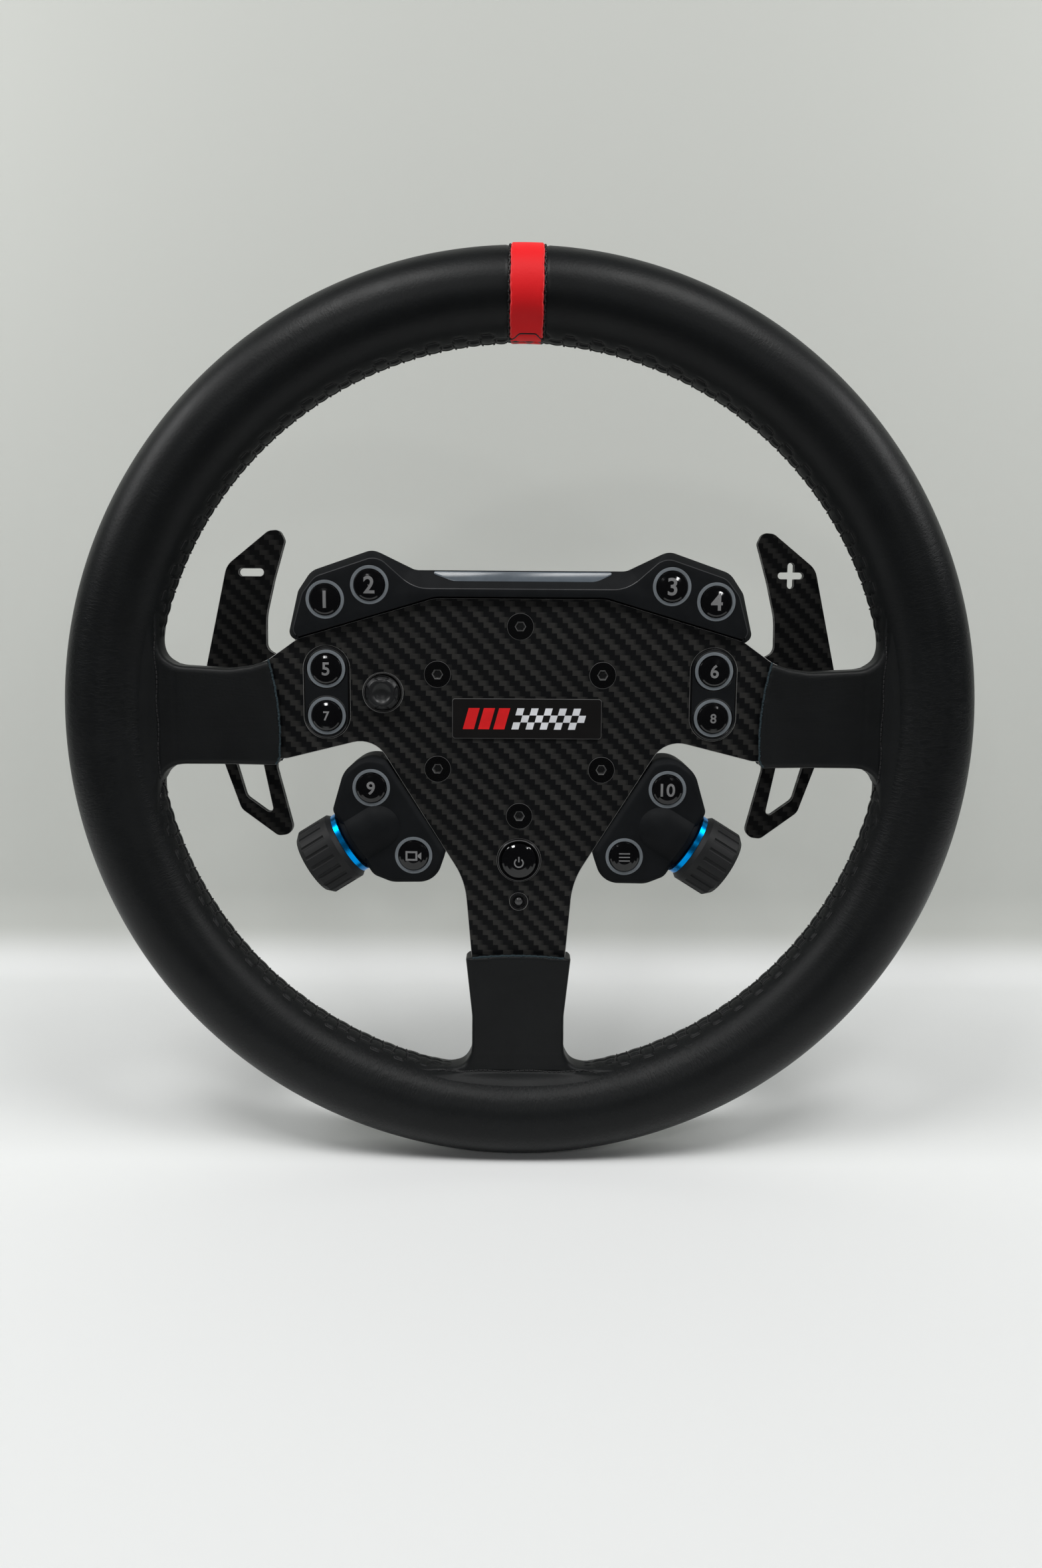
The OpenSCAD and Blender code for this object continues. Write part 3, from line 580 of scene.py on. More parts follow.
def rubber(name, colour, roughness):
    """Soft-touch rubber with dust caught in its pores."""
    f = Finish(name, colour, roughness, Specular_IOR_Level=0.3)
    p = f.position()
    pores = f.noise(p, 1500.0, 4.0, 0.7)
    specks = f.ramp(f.noise(p, 900.0, 4.0, 0.7), 0.72, 0.8)
    f.bump(f.plus(pores, f.times(f.noise(p, 220.0, 2.0), 0.6)), 0.3, 0.00012)
    f.paint(specks, colour, lighter(colour, 5.0))
    f.roughen(pores, roughness - 0.06, 0.12)
    return f.material


def board():
    """Solder mask with faint tracks."""
    f = Finish("circuit_board", (0.01, 0.06, 0.035), 0.35)
    p = f.position()
    tracks = f.add("TexBrick", {"Vector": p, "Scale": 260.0, "Mortar Size": 0.06}, output=1)
    f.paint(tracks, (0.008, 0.05, 0.03), (0.02, 0.11, 0.06))
    f.bump(tracks, 0.2, 0.00005)
    return f.material


LEATHER = leather("black_leather", (0.0034, 0.0040, 0.0044), (0.0048, 0.0056, 0.0061), 0.41)
SLEEVE_LEATHER = leather("sleeve_leather", (0.0036, 0.0042, 0.0046), (0.0052, 0.0060, 0.0065), 0.45, 0.2)
RED_LEATHER = leather("red_leather", (0.73, 0.009, 0.013), (0.78, 0.012, 0.016), 0.55, 0.15)
# Painted highlight along the skived edges of the red band
RED_EDGE_HIGHLIGHT = leather("red_edge_painted_highlight", (0.92, 0.07, 0.075), (0.95, 0.09, 0.095), 0.6, 0.1)
THREAD = thread("waxed_thread", (0.004, 0.004, 0.0045))
RAW_EDGE = plastic("cut_leather_edge", (0.02, 0.032, 0.038), 0.85, 0.9)
# Cut carbon edges: grey of their own, and painted lighter still as a painted highlight along the plate's and
# paddles' outlines
CARBON_EDGE_HIGHLIGHT = plastic("cut_carbon_edge_and_highlight", (0.28, 0.28, 0.275), 0.5, 0.4)
BEZEL = plastic("satin_bezel", (0.0068, 0.0075, 0.0084), 0.5, 0.08, Specular_IOR_Level=0.06)
LENS = plastic("smoked_lens", (0.088, 0.104, 0.122), 0.22, 0.05, Specular_IOR_Level=0.5)
MARK = plastic("printed_mark", (0.155, 0.155, 0.158), 0.5, 0.05)
STICK = plastic("stick_cap", (0.0095, 0.0098, 0.0105), 0.34, 0.12, Specular_IOR_Level=0.3)
# Painted highlight along the crease of the top pod
LIT_EDGE = plastic("painted_highlight_crease", (0.03, 0.031, 0.033), 0.3, 0.05, Specular_IOR_Level=0.4)
# Painted highlight: thin light outlines on the screw heads and sockets, the badge and the plate rings
HIGHLIGHT_EDGE = plastic("painted_highlight_edge", (0.07, 0.07, 0.07), 0.45, 0.1)
# Painted shade: a dark ring round the pill bezels, where the gap falls in shade
SHADED_EDGE = plastic("painted_shade_edge", (0.0015, 0.0015, 0.0017), 0.2, 0.02, Specular_IOR_Level=0.5)
BADGE_RED = plastic("badge_red", (0.62, 0.012, 0.014), 0.42, 0.05)
BADGE_WHITE = plastic("badge_white", (0.62, 0.63, 0.66), 0.42, 0.05)

SLOT_FINISH = {
    "leather_black": LEATHER,
    "leather_red": RED_LEATHER,
    "thread_black": THREAD,
    "bezel_plastic": BEZEL,
    "light_bar": LENS,
    "carbon": carbon(),
    "screw_black": screw(),
    "circuit_board": board(),
    "rim_foam": rubber("rim_foam", (0.02, 0.02, 0.022), 0.8),
    "knob_rubber": rubber("knob_rubber", (0.0068, 0.0072, 0.0078), 0.55),
    "core_metal": metal("core_alloy", (0.55, 0.56, 0.58), 0.35, 0.8),
    "bright_steel": metal("bright_steel", (0.6, 0.6, 0.62), 0.28, 0.8),
    "anodised_black": metal("black_anodised", (0.03, 0.03, 0.033), 0.42, 0.2),
    "anodised_blue": metal("blue_anodised", (0.0, 0.32, 0.86), 0.27, 0.7, 0.08),
    "badge": plastic("badge_film", (0.0042, 0.0038, 0.0038), 0.38, 0.05),
    "housing_plastic": plastic("textured_housing", (0.010, 0.010, 0.011), 0.55, 0.4),
    "switch_plastic": plastic("switch_plastic", (0.02, 0.02, 0.021), 0.5),
    "light_guide": plastic("frosted_ring", (0.135, 0.150, 0.164), 0.42, 0.08),
    "cap_gloss": plastic("gloss_cap", (0.0022, 0.0022, 0.0026), 0.07, 0.01, Specular_IOR_Level=0.5),
    "trim_gloss": plastic("gloss_trim", GLOSS_BLACK, 0.2, 0.03, Specular_IOR_Level=0.4),
}
NODE_FINISH = {"status_light": status_lens()}
# Width of a node's softened edges, and their finish where it is not the node's own: painted highlights, and
# painted shade on the pill bezels
EDGES = {
    "spoke_plate": (0.26, CARBON_EDGE_HIGHLIGHT), "paddle_left": (0.25, CARBON_EDGE_HIGHLIGHT),
    "paddle_right": (0.25, CARBON_EDGE_HIGHLIGHT), "pill_bezels": (0.6, SHADED_EDGE),
    "plate_screws": (0.28, HIGHLIGHT_EDGE), "badge": (0.2, HIGHLIGHT_EDGE), "plate_rings": (0.14, HIGHLIGHT_EDGE),
    "rear_housing": (0.8, None), "hub": (0.5, None), "shifter_brackets": (0.4, None),
    "pod_shells": (0.6, None), "lever_left": (0.4, None), "lever_right": (0.4, None),
    "light_rings": (0.1, None),
}


def soften_edges(cad, width, finish):
    """Rounds the sharp edges of a CAD node by modifiers, and leaves its mesh as it is."""
    weld = cad.modifiers.new("weld", "WELD")
    weld.merge_threshold = 0.002 * MM
    flat = cad.modifiers.new("flat_faces", "DECIMATE")
    flat.decimate_type = "DISSOLVE"
    flat.angle_limit = math.radians(0.5)
    edge = cad.modifiers.new("soft_edges", "BEVEL")
    edge.width = width * MM
    edge.segments = 2
    edge.limit_method = "ANGLE"
    edge.angle_limit = math.radians(50)
    split = cad.modifiers.new("crisp_corners", "EDGE_SPLIT")
    split.split_angle = math.radians(30)
    if finish:
        cad.data.materials.append(finish)
        edge.material = 1


node_slot = {part["node"]: part["material_slot"] for part in frame["record"]["subparts"]}


def finish_cad():
    """Gives each CAD node its finish and, where it shows, softer edges."""
    for node, cad in frame["nodes"].items():
        cad.data.materials.clear()
        cad.data.materials.append(NODE_FINISH.get(node, SLOT_FINISH[node_slot[node]]))
        if node in EDGES:
            soften_edges(cad, *EDGES[node])


# ---- Rim: leather skin, inner seam, sleeves and stripe ----

STITCHES = 88
SEAM_AT, BOTTOM_SEAM_AT = 132.6, 133.2
SEAM_ARCS = ((17.0, 86.4), (92.4, 163.0), (197.0, 254.5), (285.5, 343.0))
STRIPE_ANGLE = math.atan2(STRIPE_X, RIM_R)
STRIPE_JOINT, STRIPE_STITCH = 1.1, 3.1
# Heights and depths of the seam's relief
RIDGE, GATHER, FLAP, GROOVE, SLIT = 0.45, 0.5, 0.22, 0.5, 0.6


def on_tube(theta, s, radius):
    """Point on the rim. s is the distance round the tube from its inner side,
    positive towards the driver."""
    phi = s / TUBE_R
    r = RIM_R - radius * np.cos(phi)
    return np.stack(np.broadcast_arrays(
        r * np.cos(theta), -radius * np.sin(phi), r * np.sin(theta)), -1)


def tab_edge(theta, side):
    """Distance from the seam to the laced edge: wide over each tab, narrow between tabs."""
    u = np.mod(theta * STITCHES / (2 * math.pi) + (0.0 if side > 0 else 0.5), 1.0)
    tab = smoothstep(0.0, 0.10, u) * (1 - smoothstep(0.44, 0.56, u))
    return 3.0 + 3.0 * tab


def ring_radius(s):
    """Distance from the wheel's axis to the rim's surface, s round the tube."""
    return RIM_R - TUBE_R * np.cos(s / TUBE_R)


def stripe_place(theta, s):
    """Distance from the middle of the stripe, along the rim."""
    return (math.pi / 2 - STRIPE_ANGLE - theta) * ring_radius(s)


def stripe_angle(w, s):
    """Angle on the rim at a distance w from the middle of the stripe."""
    return math.pi / 2 - STRIPE_ANGLE - w / ring_radius(s)


def rim_radius(theta, s):
    """Radius of the rim's tube, with the seam's ridge and grooves and a slight unevenness."""
    edge = np.where(s > 0, tab_edge(theta, 1), tab_edge(theta, -1))
    away = np.abs(s)
    # The two laced edges meet in a low ridge, gathered between the stitches
    ridge = RIDGE * hump(s, 5.5)
    gather = GATHER * (np.abs(np.sin(theta * STITCHES)) - 0.5) * hump(s, 4.2)
    laced_flap = FLAP * smoothstep(edge - 0.2, edge - 0.8, away)
    beside_stripe = np.abs(stripe_place(theta, s)) - STRIPE_W / 2 - 0.45
    grooves = GROOVE * (hump(away - edge, 0.42) + hump(beside_stripe, 0.5)) + SLIT * hump(s, 0.45)
    swell = 0.10 * np.sin(3 * theta + 1.0) * np.sin(s * 0.11 + 0.4) + 0.06 * np.sin(7 * theta)
    return TUBE_R + ridge + gather + laced_flap - grooves + swell * smoothstep(6.0, 16.0, away)


def build_rim():
    """The leather skin, with its points closer together near the seam."""
    steps, around = STITCHES * 14, 84
    theta = np.arange(steps) * 2 * math.pi / steps
    t = np.arange(around) / around * 2 - 1
    s = np.sign(t) * np.abs(t) ** 1.55 * math.pi * TUBE_R
    theta, s = np.meshgrid(theta, s, indexing="ij")
    radius = rim_radius(theta, s)
    faces = grid_faces(steps, around, wrap_rows=True, wrap_columns=True)
    skin = add_piece("rim_skin", (on_tube(theta, s, radius), faces), LEATHER,
                     replaces=("rim_leather",))


def build_seam():
    """The lacing along both edges of the inner seam, and its cross stitches."""
    parts = []
    for start, end in SEAM_ARCS:
        theta = np.radians(np.linspace(start, end, int((end - start) * 6)))
        for side in (1, -1):
            s = side * tab_edge(theta, side)
            path = on_tube(theta, s, rim_radius(theta, s) + 0.12)
            parts.append(tube(path, 0.3))
        half = math.pi / STITCHES
        for k in range(math.ceil(math.radians(start) / half), int(math.radians(end) / half)):
            side = 1 if k % 2 == 0 else -1
            here = np.linspace(0, 1, 7)
            angle = k * half + half * 0.3 * (here - 0.5)
            s = side * 3.0 * (1 - 2 * here)
            parts.append(tube(on_tube(angle, s, rim_radius(angle, s) + 0.2), 0.28))
    add_piece("seam_lacing", join_parts(parts), THREAD, replaces=("rim_thread",))


SLEEVE_SIDE = [
    (82, 25.6, 0), (98, 20.4, 10), (106, 19.2, 20), (133.2, 20.6, 11), (133, 44, 0),
    (141, 20, 0), (141, -16, 0), (134, -40.2, 0), (134.4, -16.1, 11), (107, -16, 10), (82, -16.4, 0)]
SLEEVE_BOTTOM = [
    (0, -84, 0), (20.4, -84, 1), (17.4, -112, 12), (17.5, -135.2, 11),
    (40.4, -133.5, 0), (20, -141, 0), (0, -141, 0)]
SIDE_END = ((-17, 90.2), (-13, 88.3), (-3.6, 88.0), (4, 88.4), (12.3, 89.4), (24, 91.9))
BLEND = 5.0
EDGE_ROUND = 1.9


def soft_least(a, b, reach):
    mix = np.clip(reach - np.abs(a - b), 0, None) / reach
    return np.minimum(a, b) - mix * mix * reach / 4


def sleeve_distance(outline, end, seam):
    """Distance to a sleeve: a flat wrapped spoke that flows into the rim tube."""

    def distance(x, y, z):
        flat = distance_to_outline(outline, x, z) + EDGE_ROUND
        deep = np.abs(y) - SLEEVE_T + 0.1 + EDGE_ROUND
        outside = np.sqrt(np.clip(flat, 0, None) ** 2 + np.clip(deep, 0, None) ** 2)
        spoke = outside + np.minimum(np.maximum(flat, deep), 0) - EDGE_ROUND
        r = np.sqrt(x * x + z * z)
        rim = np.sqrt((r - RIM_R) ** 2 + y * y) - TUBE_R + 0.1
        joined = soft_least(spoke, rim, BLEND)
        joined = np.maximum(joined, end(x, z))
        joined = joined + 0.45 * hump(seam(x, z), 0.42) + 0.10 * hump(seam(x, z) + 6.4, 0.6)
        return np.maximum(joined, r - 152)

    return distance


def side_cut(z):
    """Where the right sleeve is cut off, as x at a height z."""
    heights, places = zip(*SIDE_END)
    return np.interp(z, heights, places) + 0.12 * np.sin(z * 2.1) * np.sin(z * 0.9)


def bottom_cut(x):
    """Where the bottom sleeve is cut off, as z at a place x."""
    return 0.95 * (1 - (x / 17) ** 2) - 89.0 - 0.10 * np.sin(x * 2.3) * np.sin(x * 0.7)


def add_sleeve(place_name, shape):
    add_piece("sleeve_skin_" + place_name, shape, SLEEVE_LEATHER,
              replaces=("sleeve_" + place_name,))


def build_sleeves():
    """The three leather sleeves of the spokes, with their stitches and cut ends."""
    side = rounded(SLEEVE_SIDE)
    step = 0.8
    right = sleeve_distance(side, lambda x, z: side_cut(z) - x, lambda x, z: x - SEAM_AT)
    points, faces = surface_of(right, (85, -19, -47), (154, 19, 47), step)
    add_sleeve("right", (points, faces))
    add_sleeve("left", (mirrored(points), flipped(faces)))
    bottom = sleeve_distance(rounded(both_halves(SLEEVE_BOTTOM)),
                             lambda x, z: z - bottom_cut(x), lambda x, z: -z - BOTTOM_SEAM_AT)
    add_sleeve("bottom", surface_of(bottom, (-46, -19, -154), (46, 19, -85), step))
    build_sleeve_stitches(right, bottom)
    build_raw_edges()


def surface_height(distance, x, z, side):
    """Depth of the skin at (x, z), on the driver's side for side -1."""
    near, far = np.zeros_like(x), np.full_like(x, side * 19.0)
    for _ in range(18):
        middle = (near + far) / 2
        inside = distance(x, middle, z) < 0
        near, far = np.where(inside, middle, near), np.where(inside, far, middle)
    return (near + far) / 2


def build_sleeve_stitches(right, bottom):
    """Small tight stitches where each sleeve is sewn to the rim."""
    pitch, count = 1.75, 35
    parts = {"right": [], "left": [], "bottom": []}
    for k in range(count):
        t = (k - (count - 1) / 2) * pitch + np.linspace(-0.62, 0.62, 5)
        lift = 0.28 - 0.24 * (np.linspace(-1, 1, 5) ** 2)
        sag = 0.25 * np.sin(t * 0.35)
        for side in (-1, 1):
            x, z = SEAM_AT + sag, t + 2.0
            y = surface_height(right, x, z, side) + side * lift
            path = np.stack([x, y, z], 1)
            parts["right"].append(tube(path, 0.26))
            parts["left"].append(tube(mirrored(path), 0.26))
            x, z = t, sag - BOTTOM_SEAM_AT
            y = surface_height(bottom, x, z, side) + side * lift
            parts["bottom"].append(tube(np.stack([x, y, z], 1), 0.26))
    for name, tubes in parts.items():
        add_piece("sleeve_stitches_" + name, join_parts(tubes), THREAD)


def build_raw_edges():
    """The cut ends of the sleeves, as thin uneven cords along both faces."""
    rng = np.random.default_rng(11)
    z = np.linspace(-15.6, 22.6, 150)
    across = np.linspace(-17.2, 17.2, 140)
    ends = {"right": (side_cut(z), z), "left": (-side_cut(z), z),
            "bottom": (across, bottom_cut(across))}
    for name, (px, pz) in ends.items():
        parts = []
        for side in (-1, 1):
            y = side * (SLEEVE_T - 0.62 + 0.1 * rng.standard_normal(len(px)))
            radius = 0.36 + 0.09 * rng.random(len(px))
            parts.append(tube(np.stack([px, y, pz], 1), radius, 7))
        add_piece("sleeve_cut_edge_" + name, join_parts(parts), RAW_EDGE)


def build_stripe():
    """The red band round the rim, drawn in a little at each stitch and at its own seams."""
    around, across = 240, 22
    s = (np.arange(around) / around * 2 - 1) * math.pi * TUBE_R
    t = np.linspace(-1, 1, across)
    w_edge = STRIPE_W / 2 - 0.22 * (1 - np.abs(np.sin(math.pi * s / STRIPE_STITCH))) + 0.12 * np.sin(s * 0.55)
    w = w_edge[:, None] * np.sign(t) * (1 - (1 - np.abs(t)) ** 1.6)
    s2 = np.repeat(s[:, None], across, 1)
    from_edge = w_edge[:, None] - np.abs(w)
    lift = 0.85 * smoothstep(-0.25, 0.7, from_edge) - 0.1
    lift = lift - 0.5 * hump(s2 - STRIPE_JOINT, 0.4) - 0.22 * hump(s2 - lace_height(w), 0.5)
    shape = (on_stripe(w, s2, lift), grid_faces(around, across, wrap_rows=True))
    band = add_piece("stripe_band", shape, RED_LEATHER, replaces=("centre_stripe",))
    band.data.materials.append(RED_EDGE_HIGHLIGHT)
    # The skived edges of the band are painted lighter, a painted highlight
    for k, face in enumerate(band.data.polygons):
        if k % (across - 1) in (1, across - 3):
            face.material_index = 1
    build_stripe_stitches()


def on_stripe(w, s, lift):
    """Point w across the stripe and s round the tube, lifted off the tube."""
    return on_tube(stripe_angle(w, s), s, TUBE_R + lift)


def lace_height(w):
    """Distance from the seam of the black lace that closes the stripe."""
    return 3.6 + 3.4 * smoothstep(5.6, 2.4, np.abs(w - 0.4))


def build_stripe_stitches():
    """Stitches down both edges of the stripe, and the two threads that close it."""
    parts = []
    for side in (-1, 1):
        for k in range(31):
            middle = (k - 14.5) * STRIPE_STITCH
            s = middle + np.linspace(-1.35, 1.35, 7)
            w = side * (STRIPE_W / 2 + 0.28 - 0.18 * np.cos((s - middle) * 2.2))
            lift = 0.18 - 0.25 * (np.linspace(-1, 1, 7) ** 4)
            parts.append(tube(on_stripe(w, s, lift), 0.26))
    w = np.linspace(-5.9, 6.1, 40)
    parts.append(tube(on_stripe(w, lace_height(w), 0.62), 0.27))
    parts.append(tube(on_stripe(w, 1.0 + 3.2 * (w / 6.1) ** 2, 0.5), 0.25))
    add_piece("stripe_stitches", join_parts(parts), THREAD)


# ---- Pods ----

BUTTON_R = 7.0
WELL_DEPTH = 3.2


def filled(outline, holes, y):
    """A flat face with round holes in it."""
    mesh = bmesh.new()
    for loop in [outline] + holes:
        ring = [mesh.verts.new((p[0], y, p[1])) for p in loop]
        for a, b in zip(ring, ring[1:] + ring[:1]):
            mesh.edges.new((a, b))
    bmesh.ops.triangle_fill(mesh, edges=mesh.edges[:], use_beauty=True, normal=(0, -1, 0))
    mesh.verts.index_update()
    for face in mesh.faces:
        face.normal_update()
        if face.normal.y > 0:
            face.normal_flip()
    points = [tuple(v.co) for v in mesh.verts]
    faces = [tuple(v.index for v in f.verts) for f in mesh.faces]
    mesh.free()
    return points, faces


def circle(centre, radius, steps=48):
    turn = np.arange(steps) * 2 * math.pi / steps
    return np.stack([centre[0] + radius * np.cos(turn), centre[1] + radius * np.sin(turn)], 1)


def walls(loops):
    """A skin through loops of equal count, each an outline and its depth."""
    points = np.concatenate([
        np.stack([loop[:, 0], np.full(len(loop), y), loop[:, 1]], 1) for loop, y in loops])
    return points, grid_faces(len(loops), len(loops[0][0]), wrap_columns=True)


def pod_front(inset, caps, sign=1):
    """The front face of a pod, with a well for each of its buttons."""
    holes = [circle(place_of("cap_" + str(k)) * [sign, 1], BUTTON_R) for k in caps]
    wells = [walls([(hole, POD_FACE), (hole, POD_FACE + WELL_DEPTH)]) for hole in holes]
    return [filled(inset, holes, POD_FACE)] + wells


def place_of(node):
    """Middle of a node, as x and z."""
    middle = centre_of(node)
    return np.array([middle.x, middle.z]) / MM


# The light bar's slope, from the front face at its foot to the top edge at its back
SLOPE_FOOT, SLOPE_TOP = 48.6, 55.1
SLOPE_FRONT, SLOPE_BACK = -4.9, -1.6
TOP_OUTER = [(0, SLOPE_TOP, 0), (38.4, SLOPE_TOP, 8), (53.6, 62.4, 6), (76.1, 54.6, 7), (81, 47.4, 5),
             (84.8, 31.4, 3), (81.6, 29.2, 0)]
TOP_FACE = [(0, SLOPE_FOOT, 0), (38.6, SLOPE_FOOT, 14), (51.8, 60.2, 7), (74.3, 52.6, 6), (79, 46.6, 5),
            (82.8, 32.8, 3), (80.2, 30.2, 0)]
ALONG_PLATE = [(81.0, 30.85, 0), (31, 45.65, 14), (0, 45.65, 0)]


def chain_of(corners):
    """The right-hand part of a closed outline, as far as its last corner."""
    return rounded(corners + [(0, 0, 0)], 12)[:-1]


def mirror_chain(chain):
    return (chain * [-1, 1])[::-1]


def build_top_pod():
    """The top pod: walls, a chamfer with a painted highlight along its crease, a front face and four button
    wells.
    """
    outer, face = chain_of(TOP_OUTER), chain_of(TOP_FACE)
    low = chain_of(ALONG_PLATE)
    low_loop = np.concatenate([low, mirror_chain(low)[1:]])
    outer_loop = np.concatenate([mirror_chain(outer)[:-1], outer, low_loop])
    face_loop = np.concatenate([mirror_chain(face)[:-1], face, low_loop])
    top_count = 2 * len(outer) - 1
    inset = grown(face_loop, -0.3)

    def between(t):
        return outer_loop + t * (face_loop - outer_loop)

    rows = [(outer_loop, 6.0), (outer_loop, -1.1), (between(0.02), -1.35),
            (between(0.07), SLOPE_BACK), (between(0.5), -3.2), (between(0.93), -4.62),
            (between(0.98), -4.78), (face_loop, SLOPE_FRONT), (inset, POD_FACE)]
    parts = [walls(rows)] + pod_front(inset, (1, 2, 3, 4))
    pod = add_piece("top_pod", join_parts(parts), BEZEL, replaces=("top_bezel",))
    pod.data.materials.append(LIT_EDGE)
    count = len(outer_loop)
    # The narrow face between the chamfer and the front is painted lighter, a painted highlight
    for k in range((len(rows) - 2) * count, (len(rows) - 1) * count):
        if k % count < top_count - 1:
            pod.data.polygons[k].material_index = 1
    tidy(pod)
    build_light_bar()


def tidy(piece, angle=34):
    """Welds the seams between a piece's parts and keeps its corners crisp."""
    mesh = bmesh.new()
    mesh.from_mesh(piece.data)
    bmesh.ops.remove_doubles(mesh, verts=mesh.verts, dist=0.00001)
    bmesh.ops.recalc_face_normals(mesh, faces=mesh.faces)
    limit = math.radians(angle)
    for edge in mesh.edges:
        edge.smooth = not (len(edge.link_faces) == 2 and edge.calc_face_angle(0) > limit)
    mesh.to_mesh(piece.data)
    mesh.free()


def slope_depth(z):
    """Depth of the sloping face between the pod's front and its top edge."""
    along = (z - SLOPE_FOOT) / (SLOPE_TOP - SLOPE_FOOT)
    return SLOPE_FRONT + along * (SLOPE_BACK - SLOPE_FRONT)


def build_light_bar():
    """The lens, a tapered bar let into the slope."""
    bar = rounded([(-34.2, 54.75, 0.6), (35.0, 54.75, 0.6), (27.4, 51.2, 9), (-24.6, 51.2, 9)], 8)
    rows = []
    for shrink, lift in ((0.0, -0.5), (0.0, 0.02), (0.18, 0.12)):
        loop = grown(bar, -shrink)
        rows.append(np.stack([loop[:, 0], slope_depth(loop[:, 1]) - lift, loop[:, 1]], 1))
    count = len(bar)
    faces = grid_faces(3, count, wrap_columns=True) + [tuple(range(2 * count, 3 * count))]
    shape = (np.concatenate(rows), faces)
    tidy(add_piece("light_bar_lens", shape, LENS, replaces=("light_bar",)))


POD = [(49.4, -14.2, 4), (56.8, -12.2, 10), (65, -18.2, 10), (69.4, -33.2, 3),
       (54.4, -57.4, 5), (47.4, -60.2, 9), (31.2, -60, 8.5), (27.3, -48.6, 4)]
KNOB_FACE = np.array([61.85, 3.0, -45.0])
KNOB_TILT = math.radians(32)
NECK_R = 11.5


def along_knob(points):
    """From the encoder's own axes, Z along the shaft, to the wheel's."""
    points = np.asarray(points, float).reshape(-1, 3)
    axis = np.array([math.cos(KNOB_TILT), 0, -math.sin(KNOB_TILT)])
    side = np.array([-math.sin(KNOB_TILT), 0, -math.cos(KNOB_TILT)])
    depth = np.array([0, 1.0, 0])
    return KNOB_FACE + points[:, :1] * side + points[:, 1:2] * depth + points[:, 2:] * axis


def neck():
    """The half-round housing of the encoder, on the front of a lower pod."""
    profile = [(NECK_R * math.sin(a), -11 - NECK_R * math.cos(a))
               for a in np.linspace(0.02, math.pi / 2, 22)]
    profile += [(NECK_R, -6.0), (NECK_R, -1.5), (NECK_R - 0.12, -1.2), (NECK_R - 1.0, -1.05),
                (NECK_R - 1.1, 0.8), (NECK_R - 1.3, 1.0), (3.8, 1.0)]
    turn = np.linspace(math.pi, 2 * math.pi, 49)
    rows = [[(r * math.cos(a), r * math.sin(a), z) for a in turn] for r, z in profile]
    points = along_knob(np.array(rows).reshape(-1, 3))
    return points, grid_faces(len(profile), len(turn))


def build_lower_pods():
    """The two lower pods, each with two button wells and the neck of its encoder."""
    outline = rounded(POD, 12)
    steps = ((0, 3.0), (0, -3.25), (0.12, -3.5), (0.35, -3.72), (1.15, -4.55), (1.4, -4.78),
             (1.75, -4.93), (2.1, POD_FACE))
    rows = [(grown(outline, -shrink), y) for shrink, y in steps]
    for side, sign, caps in (("right", 1, (11, 12)), ("left", -1, (9, 10))):
        parts = [walls(rows)] + pod_front(rows[-1][0], caps, sign)
        points, faces = join_parts(parts)
        tidy(add_piece("pod_" + side, (points * [sign, 1, 1], faces), BEZEL,
                       replaces=("pod_bezel_" + side,)))
        points, faces = neck()
        shape = (points * [sign, 1, 1], faces)
        tidy(add_piece("encoder_neck_" + side, shape, BEZEL), 60)


# ---- Collar spring ----

SPRING_WIRE_R = 1.0
SPRING_TURNS = 4


def build_spring():
    """The coil spring behind the collar."""
    low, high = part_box("release_spring")
    first, last = low.y / MM - RIM_Y, high.y / MM - RIM_Y
    coil_r = size_of("release_spring").x / MM / 2 - SPRING_WIRE_R
    turn = np.linspace(0, 2 * math.pi * SPRING_TURNS, 48 * SPRING_TURNS + 1)
    y = np.linspace(first + SPRING_WIRE_R, last - SPRING_WIRE_R, len(turn))
    path = np.stack([coil_r * np.cos(turn), y, coil_r * np.sin(turn)], 1)
    slot = node_slot["release_spring"]
    spring = add_piece("collar_spring", tube(path, SPRING_WIRE_R, 12), SLOT_FINISH[slot],
                       replaces=("release_spring",))
    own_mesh(spring)


# ---- Thumb stick, marks on the caps, badge ----


def resampled(line, step):
    """The same line with a point at least every step."""
    line = np.asarray(line, float)
    out = [line[:1]]
    for a, b in zip(line, line[1:]):
        count = max(1, math.ceil(np.linalg.norm(b - a) / step))
        out.append(a + (b - a) * np.arange(1, count + 1)[:, None] / count)
    return np.concatenate(out)


def build_stick():
    """The thumb stick: a dished cap with four dents in its rim, on a stem."""
    centre = place_of("thumb_stick")
    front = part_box("thumb_stick")[0].y / MM - RIM_Y
    profile = [(0.01, 1.25), (0.8, 1.22), (1.6, 1.1), (2.3, 0.88), (2.9, 0.58), (3.3, 0.28),
               (3.5, 0.14), (3.8, 0.05), (4.3, 0.0), (4.8, 0.02), (5.05, 0.1), (5.3, 0.3),
               (6.1, 1.05), (6.35, 1.35), (6.4, 1.7), (6.4, 2.6), (6.2, 3.0), (5.6, 3.3), (1.6, 3.4)]
    profile = [(r, front + y) for r, y in profile]
    points, faces = revolved(resampled(profile, 0.12), (0, 0), 144)
    for k in range(4):
        spot = math.pi / 2 * k
        out = points[:, 0] * math.cos(spot) + points[:, 2] * math.sin(spot)
        along = points[:, 2] * math.cos(spot) - points[:, 0] * math.sin(spot)
        dent = smoothstep(0.0, 0.25, out - 4.3 - 0.16 * along**2) * (np.abs(along) < 2.6)
        points[:, 1] += 0.5 * dent * (points[:, 1] < front + 1.2)
    points = points + [centre[0], 0, centre[1]]
    stem = revolved([(1.5, front + 3.0), (1.5, front + 9.5)], centre, 24)
    shape = join_parts([(points, faces), stem])
    tidy(add_piece("stick_cap", shape, STICK, "stick", replaces=("thumb_stick",)), 50)


